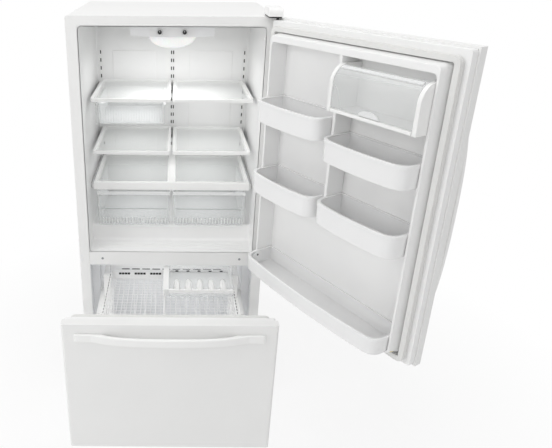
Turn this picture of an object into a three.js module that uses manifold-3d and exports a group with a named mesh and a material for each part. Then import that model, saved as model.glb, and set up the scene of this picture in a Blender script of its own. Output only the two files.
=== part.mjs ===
// A bottom freezer refrigerator, its door standing open and its freezer drawer pulled out.
// Millimetres, +Z up. While the pieces are made, x = 0 is the middle of the cabinet, y = 0 is the
// cabinet's front face with the room at -y, and z = 0 is the floor. Door and drawer pieces are drawn
// closed, then their groups are turned and pulled out. The finished group is moved so that its origin
// is the middle of its footprint, on the floor.
import * as THREE from 'three';
import { mergeVertices } from 'three/addons/utils/BufferGeometryUtils.js';
import Module from 'manifold-3d';

const wasm = await Module();
wasm.setup();

// ---- Driving dimensions -------------------------------------------------------------------------
const GAP = 0.3; // clearance between pieces that seat on each other

// Cabinet
const CABINET_WIDTH = 748;
const CABINET_HEIGHT = 1670;
const CABINET_DEPTH = 610;
const SIDE_BOTTOM = 25; // lower edge of the side sheets above the floor
const SHEET = 1.2; // painted steel sheet
const SIDE_FLANGE = 39; // painted front flange beside the compartments
const TOP_FLANGE = 32;
const CORNER_RADIUS = 8;

// How it stands
const DOOR_OPEN_ANGLE = 121; // degrees
const DRAWER_OUT = 362;

// Door and drawer fronts
const FRONT_OVERHANG = 2; // wider than the cabinet on each side
const FRONT_FACE = -75; // y of the closed outer face
const SKIN_DEPTH = 33; // depth of the steel skin's returns
const SKIN_RADIUS = 10;
const RIM_BACK = -20; // y of the plastic rim's back, where the gasket sits
const RIM_INSET = 5; // the plastic rim stands in from the skin
const GASKET_FACE = -0.7;
const GASKET_WIDTH = 18;
const DOOR_TOP_DROP = 1; // door top below the cabinet top
const FRONT_GAP = 16; // between door and drawer
const FRONT_GAP_RISE = 24; // middle of that gap above the freezer mouth's top
const DRAWER_BOTTOM = 144;

// Compartments
const LINER = 2; // thickness of the plastic liners
const FLANGE_REVEAL = 4; // the fridge liner stands in from the flange's edge
const MULLION = 62; // from the freezer mouth's top to the fridge sill
const RAIL_DEPTH = 20; // of the channel between the compartments
const FRIDGE_BACK_WALL = 134; // from the fridge's rear wall to the cabinet's back
const RISER_Y = 110; // front of the raised floor under the crispers
const PLATEAU_RISE = 72; // that floor above the sill
const FREEZER_WALL = 74; // from the cabinet's side to the freezer's inner wall
const FREEZER_MOUTH_STEP = 2; // the mouth stands in from the flange's edge
const FREEZER_MOUTH_DEPTH = 38;
const FREEZER_MOUTH_TOP = 681;
const FREEZER_MOUTH_FLOOR = 182;
const FREEZER_FLOOR = 190;
const FREEZER_CEILING_STEP = 2; // the ceiling stands in from the mouth's top
const FREEZER_BACK_WALL = 155;
const HUMP_WALL = 68; // from the front of the step over the machine compartment to that room
const HUMP_ROOF = 65; // and from that room's top to the step's top
const LIP = 12; // turned edge of the fridge liner, tucked behind the flange
const LEDGE = 19; // moulded ledges that carry the crisper cover
const LEDGE_START = 20; // the ledges begin this far behind the cover's front edge

// Base and machine compartment
const DECK = 130; // underside of the pan under the freezer
const BASE_SHEET = 1.5;
const MACHINE_DEPTH = 212;
const MACHINE_TOP = 340;
const MACHINE_COVER = 2.5; // thickness of the slotted rear cover
const BASE_PLATE = 60; // underside of the plate that carries the compressor
const BASE_PLATE_THICKNESS = 3;
const RUNNER_FRONT = 43;
const RUNNER_BOTTOM = 35;
const RUNNER_WIDTH = 32;
const LEG_SIDE_INSET = 27; // from the cabinet's side
const LEG_Y = 62;
const LEG_FOOT_RADIUS = 17;
const LEG_STEM_RADIUS = 5;
const NUT_SIZE = 22;
const NUT_HEIGHT = 15;
const ROLLER_SIDE_INSET = 29;
const ROLLER_INSET = 50; // from the cabinet's back
const ROLLER_RADIUS = 20;
const ROLLER_WIDTH = 20;
const AXLE_RADIUS = 4;
const TURNING_CLEARANCE = 0.4;
const GRILLE_THICKNESS = 12;
const COMPRESSOR_X = -200;
const COMPRESSOR_INSET = 110;
const COMPRESSOR_RADIUS = 80;
const COMPRESSOR_HEIGHT = 176;
const COVER_SLOT_MARGIN = 60; // slots of the rear cover, from its ends
const COVER_SLOT_PITCH = 46;
const COVER_SLOT_HEIGHT = 12;
const GRILLE_SLOT_MARGIN = 30;
const GRILLE_SLOT_PITCH = 22;
const GRILLE_SLOT_HEIGHT = 11;
const FAN_X = 60;
const FAN_INSET = 90;
const FAN_Z = 180;
const FAN_RADIUS = 78;
const SHAFT_RADIUS = 3;
const CONDENSER_HALF_WIDTH = 108;
const CONDENSER_DEPTH = 54;
const CONDENSER_HEIGHT = 226;
const CONDENSER_GAP = 46; // in front of the fan

// Hinges
const HINGE_INSET = 15; // turning axis in from the door's end
const HINGE_Y = -31;
const PIN_RADIUS = 5;
const PIN_REACH = 18; // how far a hinge pin enters the door
const HINGE_LEAF = 4.4;
const HINGE_COVER_HEIGHT = 28;

// Shelves, crispers and deli drawer
const SHELF_FRONT = 100;
const SHELF_BACK_GAP = 18;
const SHELF_SIDE_GAP = 17; // from the liner wall
const SHELF_MIDDLE_GAP = 8;
const SHELF_THICKNESS = 14;
const SHELF_BORDER = 17;
const GLASS = 4;
const UPPER_SHELF_RISE = 346; // above the crisper cover
const LOWER_SHELF_RISE = 134;
const BRACKET_HEIGHT = 44;
const BRACKET_THICKNESS = 3;
const TRACK_WIDTH = 16;
const TRACK_THICKNESS = 3;
const TRACK_DROP = 142; // top of the tracks below the ceiling
const TRACK_PITCH = 34.5;
const TRACK_END = 21; // from the last slot to the track's end
const SLOT_WIDTH = 3;
const SLOT_HEIGHT = 13;
const SLOT_PAIR = 9; // spacing of the middle track's two columns
const COVER_RISE = 193; // top of the crisper cover above the raised floor
const COVER_RAIL = 32;
const COVER_RAIL_DEPTH = 12;
const COVER_DIVIDER = 34;
const COVER_BACK_GAP = 14;
const COVER_SIDE_GAP = 13;
const CRISPER_SIDE_GAP = 25; // from the liner wall
const CRISPER_MIDDLE_GAP = 8;
const CRISPER_FRONT = 97;
const CRISPER_BACK_GAP = 36;
const CRISPER_DROP = 46; // a crisper's top below the cover's
const CRISPER_LIP = 16; // height of the pull along a crisper's top edge
const TUB_WALL = 2.5; // wall of the clear drawers and of the door bins
const DELI_SIDE_GAP = 18; // from the shelf's outer edge
const DELI_RIGHT = -26;
const DELI_DROP = 18; // the deli drawer's top below the shelf's
const DELI_HEIGHT = 83;
const DELI_BACK_GAP = 58; // to the shelf's back
const DELI_RUNNER_DROP = 14; // the runners' feet below the deli drawer's top
const DELI_RUNNER_SHEET = 2.5;

// Controls and lamp
const CONSOLE_HALF_WIDTH = 157;
const CONSOLE_FRONT = 112;
const CONSOLE_BACK = 300;
const CONSOLE_HEIGHT = 51;
const CONSOLE_SAG = 6; // its lower edge bows down
const KNOB_RADIUS = 8;
const KNOB_DEPTH = 11;
const KNOB_BOSS_RADIUS = 4;
const KNOB_SPACING = 92;
const KNOB_RISE = 19; // above the console's lower edge
const LENS_HALF_WIDTH = 88;
const LENS_DROP = 50;
const LENS_WALL = 2.5;
const LENS_FRONT = 150;
const LENS_BACK = 290;
const SWITCH_Y = 20;
const SWITCH_DROP = 44; // below the ceiling
const SWITCH_RADIUS = 5;
const SWITCH_REACH = 3.6; // how far the plunger stands out of the wall

// Door lining. The dike is the raised border that enters the compartment. It has three sections:
// at its base, at the cabinet's front face and at its crest.
const DIKE_CREST = 25; // how far the dike enters the compartment
const DIKE_BASE_OVERLAP = 3; // the base is wider than the opening
const DIKE_SIDE_GAPS = [3, 6]; // dike to liner wall, at the front face and at the crest
const DIKE_TOP_GAPS = [6, 8, 12];
const DIKE_SILL_GAPS = [0, 3, 5];
const CREST_WIDTH = 7;
const CREST_TOP_WIDTH = 22;
const CREST_BOTTOM_WIDTH = 4;
const RECESS_BACK = -45;
const DIVIDER_WIDTH = 14;
const DIVIDER_X = 4;
const DIVIDER_SHARE = 0.38; // height of the divider's lower end, as a share of the recess
const COLUMN_GAP = 0.8; // between a bin and the recess beside it

// Door bins and dairy box
const BIN_END = 84; // y of the bin fronts near their ends
const BIN_BOW = 95; // and at their middle
const BIN_CORNER = 40;
const BINS = { // the rim's height is a share of the recess
  upper_left: { share: 0.78, height: 75 },
  upper_right: { share: 0.72, height: 72 },
  lower_left: { share: 0.473, height: 75 },
  lower_right: { share: 0.476, height: 74 },
};
const BOTTOM_BIN_HEIGHT = 60;
const BOTTOM_BIN_END = 86;
const BOTTOM_BIN_BOW = 102;
const DAIRY_HEIGHT = 137;
const DAIRY_DROP = 20; // its top below the recess's
const DAIRY_FRONT = 68;
const DAIRY_CHEEK = 12; // thickness of the end panels
const DAIRY_ROUND = 52;
const DAIRY_COVER_SHEET = 2.5;
const DAIRY_PIVOT_Y = 36;
const DAIRY_PIVOT_DROP = 12; // pivot below the top
const DAIRY_PIVOT_RADIUS = 2.5;

// Handles
const HANDLE_LENGTH = 664;
const HANDLE_WIDTH = 33;
const HANDLE_STAND = 38; // how far the bar bows out
const HANDLE_THICKNESS = 13;
const HANDLE_PAD = 98;
const HANDLE_PAD_THICKNESS = 9;
const DRAWER_HANDLE_DROP = 51.5; // below the drawer's top
const DOOR_HANDLE_INSET = 29.5; // from the door's free edge

// Freezer drawer
const PLUG_SIDE_GAP = 11; // plug to mouth
const PLUG_FLOOR_GAP = 8;
const PLUG_TOP_GAP = 10;
const PLUG_END = -8; // y of the bowed plug at its ends
const PLUG_BOW = 27; // and at its middle
const SLIDE_DROP = 118; // middle of the drawer slides below the basket's rim
const SLIDE_HEIGHT = 46;
const SLIDE_THICKNESS = 10;
const SLIDE_WEB = 2;
const RAIL_LIP = 8; // height of the cabinet rail's lips above and below its channel
const MID_LIP = 12;
const SLIDE_FRONT = 40.5;
const SLIDE_BACK_GAP = 2; // to the coil cover
const BASKET_SIDE_GAP = 54; // to the freezer's wall
const BASKET_FRONT = 40;
const BASKET_BACK_GAP = 8; // to the coil cover
const BASKET_HEADROOM = 39; // from its rim to the freezer's ceiling
const BASKET_DEPTH = 340;
const BASKET_STEP_GAP = 32; // in front of the step over the machine compartment
const BASKET_STEP_RISE = 35; // and above it
const BASKET_PITCH = 43;
const WIRE = 4;
const RIM_WIRE = 7;
const TRAY_LEFT = -30;
const TRAY_DEPTH = 185;
const TRAY_BACK_GAP = 12; // behind it, to the basket's back
const TRAY_HEIGHT = 30;
const TRAY_WALL = 3;
const TRAY_CHEEK = 24; // broad left border

// Cold coil and its cover
const COIL_SIDE_GAP = 75; // to the freezer's wall
const COIL_HEIGHT = 190;
const COIL_FIN_DEPTH = 36;
const COIL_ROOM = 63; // depth behind the coil's cover
const COIL_COVER_SHEET = 3;
const VENT_RISES = [6, 27]; // of the slot rows above the step
const VENT_HEIGHT = 6;
const VENT_WIDTH = 38;
const VENT_PITCH = 50;
const VENT_COUNT = 10;

// ---- Values that follow from them ---------------------------------------------------------------
const CABINET_HALF = CABINET_WIDTH / 2;
const INSIDE_HALF = CABINET_HALF - SHEET - GAP; // what stands between the side sheets
const OPENING_HALF = CABINET_HALF - SIDE_FLANGE;
const OPENING_TOP = CABINET_HEIGHT - TOP_FLANGE;
const LINER_FRONT = SHEET + GAP;
const FRIDGE_HALF = OPENING_HALF - FLANGE_REVEAL;
const FRIDGE_SILL = FREEZER_MOUTH_TOP + MULLION;
const PLATEAU = FRIDGE_SILL + PLATEAU_RISE;
const FRIDGE_CEILING = OPENING_TOP - FLANGE_REVEAL;
const FRIDGE_BACK = CABINET_DEPTH - FRIDGE_BACK_WALL;
const MACHINE_FRONT = CABINET_DEPTH - MACHINE_DEPTH;
const LEG_X = CABINET_HALF - LEG_SIDE_INSET;
const ROLLER_X = CABINET_HALF - ROLLER_SIDE_INSET;
const ROLLER_Y = CABINET_DEPTH - ROLLER_INSET;
const COMPRESSOR_Y = CABINET_DEPTH - COMPRESSOR_INSET;
const FAN_Y = CABINET_DEPTH - FAN_INSET;
const FREEZER_HALF = CABINET_HALF - FREEZER_WALL;
const FREEZER_BACK = CABINET_DEPTH - FREEZER_BACK_WALL;
const FREEZER_CEILING = FREEZER_MOUTH_TOP - FREEZER_CEILING_STEP;
const HUMP_Y = MACHINE_FRONT - HUMP_WALL;
const HUMP_TOP = MACHINE_TOP + HUMP_ROOF;
const COIL_COVER_Y = FREEZER_BACK - COIL_ROOM;
const COIL_HALF_WIDTH = FREEZER_HALF - COIL_SIDE_GAP;
const FREEZER_MOUTH_HALF = OPENING_HALF - FREEZER_MOUTH_STEP;
const FRONT_MIDDLE = FREEZER_MOUTH_TOP + FRONT_GAP_RISE;
const DRAWER_TOP = FRONT_MIDDLE - FRONT_GAP / 2;
const DOOR_BOTTOM = FRONT_MIDDLE + FRONT_GAP / 2;
const DOOR_TOP = CABINET_HEIGHT - DOOR_TOP_DROP;
const FRONT_HALF = CABINET_HALF + FRONT_OVERHANG;
const SKIN_BACK = FRONT_FACE + SKIN_DEPTH;
const RIM_FRONT = SKIN_BACK + GAP;
const RIM_HALF = FRONT_HALF - RIM_INSET;
const HINGE_X = FRONT_HALF - HINGE_INSET;
const COVER_TOP = PLATEAU + COVER_RISE;
const COVER_BACK = FRIDGE_BACK - COVER_BACK_GAP;
const UPPER_SHELF = COVER_TOP + UPPER_SHELF_RISE;
const LOWER_SHELF = COVER_TOP + LOWER_SHELF_RISE;
const SHELF_BACK = FRIDGE_BACK - SHELF_BACK_GAP;
const SHELF_HALF = FRIDGE_HALF - SHELF_SIDE_GAP;
const COVER_HALF = FRIDGE_HALF - COVER_SIDE_GAP;
const CRISPER_HALF = FRIDGE_HALF - CRISPER_SIDE_GAP;
const CRISPER_BACK = FRIDGE_BACK - CRISPER_BACK_GAP;
const CRISPER_TOP = COVER_TOP - CRISPER_DROP;
const DELI_TOP = UPPER_SHELF - DELI_DROP;
const DELI_LEFT = DELI_SIDE_GAP - SHELF_HALF;
const DELI_BACK = SHELF_BACK - DELI_BACK_GAP;
const CONSOLE_BOTTOM = FRIDGE_CEILING - CONSOLE_HEIGHT;
const KNOB_Z = CONSOLE_BOTTOM + KNOB_RISE;
const SWITCH_Z = FRIDGE_CEILING - SWITCH_DROP;
const TRACK_TOP = FRIDGE_CEILING - TRACK_DROP;
const TRACK_SLOTS = 1 + Math.floor((TRACK_TOP - COVER_TOP - 2 * TRACK_END) / TRACK_PITCH);
const TRACK_FRONT = FRIDGE_BACK - GAP - TRACK_THICKNESS;
const LEDGE_TOP = COVER_TOP - SHELF_THICKNESS - GAP;
const DIKE_HALVES = [OPENING_HALF + DIKE_BASE_OVERLAP, ...DIKE_SIDE_GAPS.map((gap) => FRIDGE_HALF - gap)];
const DIKE_TOPS = DIKE_TOP_GAPS.map((gap) => FRIDGE_CEILING - gap);
const DIKE_SILLS = DIKE_SILL_GAPS.map((gap) => FRIDGE_SILL + gap);
const RECESS_HALF = DIKE_HALVES[2] - CREST_WIDTH;
const RECESS_BOTTOM = DIKE_SILLS[2] + CREST_BOTTOM_WIDTH;
const RECESS_TOP = DIKE_TOPS[2] - CREST_TOP_WIDTH;
const recessShare = (share) => RECESS_BOTTOM + share * (RECESS_TOP - RECESS_BOTTOM);
const DIVIDER_BOTTOM = recessShare(DIVIDER_SHARE);
const DAIRY_TOP = RECESS_TOP - DAIRY_DROP;
const DAIRY_BOTTOM = DAIRY_TOP - DAIRY_HEIGHT;
const DOOR_HANDLE_Z = (DOOR_BOTTOM + DOOR_TOP) / 2;
const DRAWER_HANDLE_Z = DRAWER_TOP - DRAWER_HANDLE_DROP;
const GASKET_HALF = DIKE_HALVES[0] + 1.5; // inner edge of both gasket frames
const PLUG_HALF = FREEZER_MOUTH_HALF - PLUG_SIDE_GAP;
const PLUG_BOTTOM = FREEZER_MOUTH_FLOOR + PLUG_FLOOR_GAP;
const PLUG_TOP = FREEZER_MOUTH_TOP - PLUG_TOP_GAP;
const MACHINE_FLOOR = BASE_PLATE + BASE_PLATE_THICKNESS;
const MACHINE_COVER_BACK = CABINET_DEPTH - SHEET - GAP;
const BASE_BACK = MACHINE_COVER_BACK - MACHINE_COVER - GAP;
const DAIRY_PIVOT_Z = DAIRY_TOP - DAIRY_PIVOT_DROP;
const DELI_RUNNER_FOOT = DELI_TOP - DELI_RUNNER_DROP;
const HINGE_COLUMN = [DIVIDER_X + DIVIDER_WIDTH / 2 + COLUMN_GAP, RECESS_HALF - COLUMN_GAP];
const FREE_COLUMN = [-RECESS_HALF + COLUMN_GAP, DIVIDER_X - DIVIDER_WIDTH / 2 - COLUMN_GAP];
const WHOLE_WIDTH = [-RECESS_HALF + COLUMN_GAP, RECESS_HALF - COLUMN_GAP];
const RAIL_OUTER = FREEZER_HALF - GAP; // drawer slides, from the freezer's wall inwards
const MID_OUTER = RAIL_OUTER - SLIDE_THICKNESS - GAP;
const FRAME_OUTER = MID_OUTER - SLIDE_THICKNESS - GAP;
const BASKET_HALF_WIDTH = FREEZER_HALF - BASKET_SIDE_GAP;
const BASKET_BACK = COIL_COVER_Y - BASKET_BACK_GAP;
const BASKET_RIM = FREEZER_CEILING - BASKET_HEADROOM;
const BASKET_FLOOR = BASKET_RIM - BASKET_DEPTH;
const BASKET_STEP_Y = HUMP_Y - BASKET_STEP_GAP;
const BASKET_STEP = HUMP_TOP + BASKET_STEP_RISE;
const TRAY_FRONT = BASKET_BACK - TRAY_DEPTH - TRAY_BACK_GAP;
const SLIDE_Z = BASKET_RIM - SLIDE_DROP;
const SLIDE_BACK = COIL_COVER_Y - SLIDE_BACK_GAP;
const SLIDE_LOW = SLIDE_Z - SLIDE_HEIGHT / 2;
const SLIDE_HIGH = SLIDE_Z + SLIDE_HEIGHT / 2;

// ---- Colours and surfaces -----------------------------------------------------------------------
const paint = (color, roughness, metalness = 0) =>
  new THREE.MeshStandardMaterial({ color, roughness, metalness });
const WHITE_PAINT = paint('#ededed', 0.35);
const WHITE_PLASTIC = paint('#f0f0f0', 0.45);
const GREY_PLASTIC = paint('#dcdcdc', 0.45);
const FREEZER_PLASTIC = paint('#e2e2e2', 0.5);
const CLEAR_PLASTIC = paint('#e4e6e6', 0.15);
const WHITE_RUBBER = paint('#e9e9e9', 0.7);
const BLACK_PLASTIC = paint('#1c1c1c', 0.4);
const FOAM = paint('#e4d7a4', 0.9);
const ZINC = paint('#b9bcbf', 0.4, 0.8);
const BLACK_STEEL = paint('#202122', 0.5, 0.4);
const ALUMINIUM = paint('#c5c7c9', 0.45, 0.9);
const BOARD = paint('#6d665c', 0.9);
const WHITE_WIRE = paint('#f4f4f4', 0.4);

// ---- Shapes -------------------------------------------------------------------------------------
const block = (x0, x1, y0, y1, z0, z1) =>
  new THREE.BoxGeometry(x1 - x0, y1 - y0, z1 - z0)
    .translate((x0 + x1) / 2, (y0 + y1) / 2, (z0 + z1) / 2);

// A block between inner and outer distances from the middle plane, on the left (-1) or right (1).
function sideBlock(side, inner, outer, y0, y1, z0, z1) {
  const [x0, x1] = side < 0 ? [-outer, -inner] : [inner, outer];
  return block(x0, x1, y0, y1, z0, z1);
}

const bothSides = (make) => [make(-1), make(1)];
const steps = (count, from, pitch) => Array.from({ length: count }, (_, index) => from + index * pitch);
const outline = (points) => new THREE.Shape(points.map(([a, b]) => new THREE.Vector2(a, b)));

// A rectangle whose corners may be rounded, in the order low left, low right, top right, top left.
function rectangle(a0, a1, b0, b1, [r0, r1, r2, r3] = [0, 0, 0, 0]) {
  const quarter = Math.PI / 2;
  const shape = new THREE.Shape();
  shape.moveTo(a0 + r0, b0);
  shape.lineTo(a1 - r1, b0);
  if (r1) shape.absarc(a1 - r1, b0 + r1, r1, -quarter, 0, false);
  shape.lineTo(a1, b1 - r2);
  if (r2) shape.absarc(a1 - r2, b1 - r2, r2, 0, quarter, false);
  shape.lineTo(a0 + r3, b1);
  if (r3) shape.absarc(a0 + r3, b1 - r3, r3, quarter, 2 * quarter, false);
  shape.lineTo(a0, b0 + r0);
  if (r0) shape.absarc(a0 + r0, b0 + r0, r0, 2 * quarter, 3 * quarter, false);
  return shape;
}

const extrude = (shape, depth, curveSegments) =>
  new THREE.ExtrudeGeometry(shape, { depth, bevelEnabled: false, curveSegments });

// An outline in (x, y), raised from z0 to z1.
const raised = (shape, z0, z1, segments = 4) => extrude(shape, z1 - z0, segments).translate(0, 0, z0);

// An outline in (y, z), drawn out along x.
function acrossX(shape, x0, x1, segments = 4) {
  const turn = new THREE.Matrix4().makeBasis(
    new THREE.Vector3(0, 1, 0), new THREE.Vector3(0, 0, 1), new THREE.Vector3(1, 0, 0));
  return extrude(shape, x1 - x0, segments).applyMatrix4(turn).translate(x0, 0, 0);
}

// An outline in (x, z), drawn out along y.
function alongY(shape, y0, y1, segments = 4) {
  const turn = new THREE.Matrix4().makeBasis(
    new THREE.Vector3(1, 0, 0), new THREE.Vector3(0, 0, 1), new THREE.Vector3(0, -1, 0));
  return extrude(shape, y1 - y0, segments).applyMatrix4(turn).translate(0, y1, 0);
}

// Round bars along each axis: radius, from, to, and the other two coordinates in order.
const rodX = (radius, from, to, y, z, sides = 16) =>
  new THREE.CylinderGeometry(radius, radius, to - from, sides)
    .rotateZ(-Math.PI / 2).translate((from + to) / 2, y, z);
const rodY = (radius, from, to, x, z, sides = 16) =>
  new THREE.CylinderGeometry(radius, radius, to - from, sides).translate(x, (from + to) / 2, z);
const rodZ = (radius, from, to, x, y, sides = 16) =>
  new THREE.CylinderGeometry(radius, radius, to - from, sides)
    .rotateX(Math.PI / 2).translate(x, y, (from + to) / 2);

// The left ends and the width of slots that fill a width evenly, and the slots through a panel that
// lies across y, at every x with every z.
function slotRow(half, count, share) {
  const pitch = (2 * half) / count;
  const width = pitch * share;
  return [steps(count, -half + (pitch - width) / 2, pitch), width];
}
const slotGrid = (xs, width, zs, height, y0, y1) =>
  xs.flatMap((x) => zs.map((z) => block(x, x + width, y0, y1, z, z + height)));

// ---- Joining and cutting ------------------------------------------------------------------------
function solid(body) {
  if (!body.isBufferGeometry) return body;
  const bare = body.clone();
  bare.deleteAttribute('normal');
  bare.deleteAttribute('uv');
  const merged = mergeVertices(bare, 1e-4);
  return new wasm.Manifold(new wasm.Mesh({
    numProp: 3,
    vertProperties: new Float32Array(merged.attributes.position.array),
    triVerts: new Uint32Array(merged.index.array),
  }));
}

const join = (...bodies) => wasm.Manifold.union(bodies.map(solid));
const cut = (base, ...tools) => solid(base).subtract(join(...tools));

function geometryOf(body) {
  if (body.isBufferGeometry) return body;
  const mesh = body.getMesh();
  const corners = [];
  for (const vertex of mesh.triVerts) {
    const at = vertex * mesh.numProp;
    corners.push(mesh.vertProperties[at], mesh.vertProperties[at + 1], mesh.vertProperties[at + 2]);
  }
  const geometry = new THREE.BufferGeometry();
  geometry.setAttribute('position', new THREE.Float32BufferAttribute(corners, 3));
  geometry.computeVertexNormals();
  return geometry;
}

// ---- Cabinet shell ------------------------------------------------------------------------------
const cabinetFrontView = (inset) => rectangle(
  -CABINET_HALF + inset, CABINET_HALF - inset, SIDE_BOTTOM - 1, CABINET_HEIGHT - inset,
  [0, 0, CORNER_RADIUS - inset, CORNER_RADIUS - inset]);

// The outer wrapper: top, sides, back and front flange, open below and at the machine compartment.
function cabinetWrapper() {
  const half = CABINET_HALF - SHEET;
  const toeTop = DECK + BASE_SHEET + GAP;
  return cut(
    alongY(cabinetFrontView(0), 0, CABINET_DEPTH, 3),
    alongY(cabinetFrontView(SHEET), SHEET, CABINET_DEPTH - SHEET, 3),
    block(-OPENING_HALF, OPENING_HALF, -1, SHEET + 1, 0, OPENING_TOP),
    block(-half, half, -1, SHEET + 1, 0, toeTop),
    block(-half, half, CABINET_DEPTH - SHEET - 1, CABINET_DEPTH + 1, 0, MACHINE_TOP),
    block(-CABINET_WIDTH, CABINET_WIDTH, -1, CABINET_DEPTH + 1, 0, SIDE_BOTTOM));
}

// The fridge compartment's room from a given y backwards, grown outwards by a wall.
function fridgeRoom(grow, front) {
  const side = outline([
    [front, FRIDGE_SILL - grow], [RISER_Y + grow, FRIDGE_SILL - grow], [RISER_Y + grow, PLATEAU - grow],
    [FRIDGE_BACK + grow, PLATEAU - grow], [FRIDGE_BACK + grow, FRIDGE_CEILING + grow],
    [front, FRIDGE_CEILING + grow]]);
  return acrossX(side, -FRIDGE_HALF - grow, FRIDGE_HALF + grow);
}

// The freezer's room: a wide mouth for the drawer's plug and a narrower space with the hump.
function freezerRoom(grow, front) {
  const side = outline([
    [front, FREEZER_FLOOR - grow], [HUMP_Y + grow, FREEZER_FLOOR - grow], [HUMP_Y + grow, HUMP_TOP - grow],
    [FREEZER_BACK + grow, HUMP_TOP - grow], [FREEZER_BACK + grow, FREEZER_CEILING + grow],
    [front, FREEZER_CEILING + grow]]);
  const mouth = block(-FREEZER_MOUTH_HALF - grow, FREEZER_MOUTH_HALF + grow, front,
    FREEZER_MOUTH_DEPTH + grow, FREEZER_MOUTH_FLOOR - grow, FREEZER_MOUTH_TOP + grow);
  return join(mouth, acrossX(side, -FREEZER_HALF - grow, FREEZER_HALF + grow));
}

function fridgeLiner() {
  const edge = FRIDGE_HALF + LIP;
  const lip = cut(
    block(-edge, edge, LINER_FRONT, LINER_FRONT + LINER, FRIDGE_SILL - LINER, FRIDGE_CEILING + LIP),
    block(-FRIDGE_HALF - 1, FRIDGE_HALF + 1, 0, LINER_FRONT + LINER + 1,
      FRIDGE_SILL - LINER - 1, FRIDGE_CEILING + 1));
  const ledges = bothSides((side) => sideBlock(side, FRIDGE_HALF - LEDGE, FRIDGE_HALF + 1,
    SHELF_FRONT + LEDGE_START, FRIDGE_BACK + 1, LEDGE_TOP - LEDGE, LEDGE_TOP));
  const switchHole = rodX(SWITCH_RADIUS + TURNING_CLEARANCE, FRIDGE_HALF - 1, FRIDGE_HALF + LINER + 1,
    SWITCH_Y, SWITCH_Z);
  const shell = cut(fridgeRoom(LINER, LINER_FRONT), fridgeRoom(0, 0));
  return cut(join(shell, lip, ...ledges), switchHole);
}

const freezerLiner = () => cut(freezerRoom(LINER, LINER_FRONT), freezerRoom(0, 0));

function cabinetFoam() {
  const skin = SHEET + GAP;
  const clear = LINER + GAP;
  const bulk = alongY(cabinetFrontView(skin), LINER_FRONT + GAP, CABINET_DEPTH - skin, 3);
  const lipRoom = block(-CABINET_HALF, CABINET_HALF, 0, LINER_FRONT + clear,
    FREEZER_MOUTH_TOP, CABINET_HEIGHT);
  const railRoom = block(-OPENING_HALF, OPENING_HALF, 0, RAIL_DEPTH + GAP,
    FREEZER_MOUTH_TOP, FRIDGE_SILL);
  const switchRoom = block(FRIDGE_HALF, FRIDGE_HALF + 22, SWITCH_Y - 12, SWITCH_Y + 12,
    SWITCH_Z - 12, SWITCH_Z + 12);
  const machineRoom = block(-CABINET_HALF, CABINET_HALF, MACHINE_FRONT - GAP, CABINET_DEPTH,
    0, MACHINE_TOP + BASE_SHEET + GAP);
  const below = block(-CABINET_HALF, CABINET_HALF, 0, CABINET_DEPTH, 0, DECK + BASE_SHEET + GAP);
  return cut(bulk, fridgeRoom(clear, 0), freezerRoom(clear, 0), machineRoom, lipRoom, railRoom,
    switchRoom, below);
}

// The rail between the compartments: a channel open to the foam behind it.
function mullionRail() {
  const half = OPENING_HALF - GAP;
  const bottom = FREEZER_MOUTH_TOP + LINER + GAP;
  const top = FRIDGE_SILL - LINER - GAP;
  return cut(
    block(-half, half, 0, RAIL_DEPTH, bottom, top),
    block(-half - 1, half + 1, SHEET, RAIL_DEPTH + 1, bottom + SHEET, top - SHEET));
}

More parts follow.
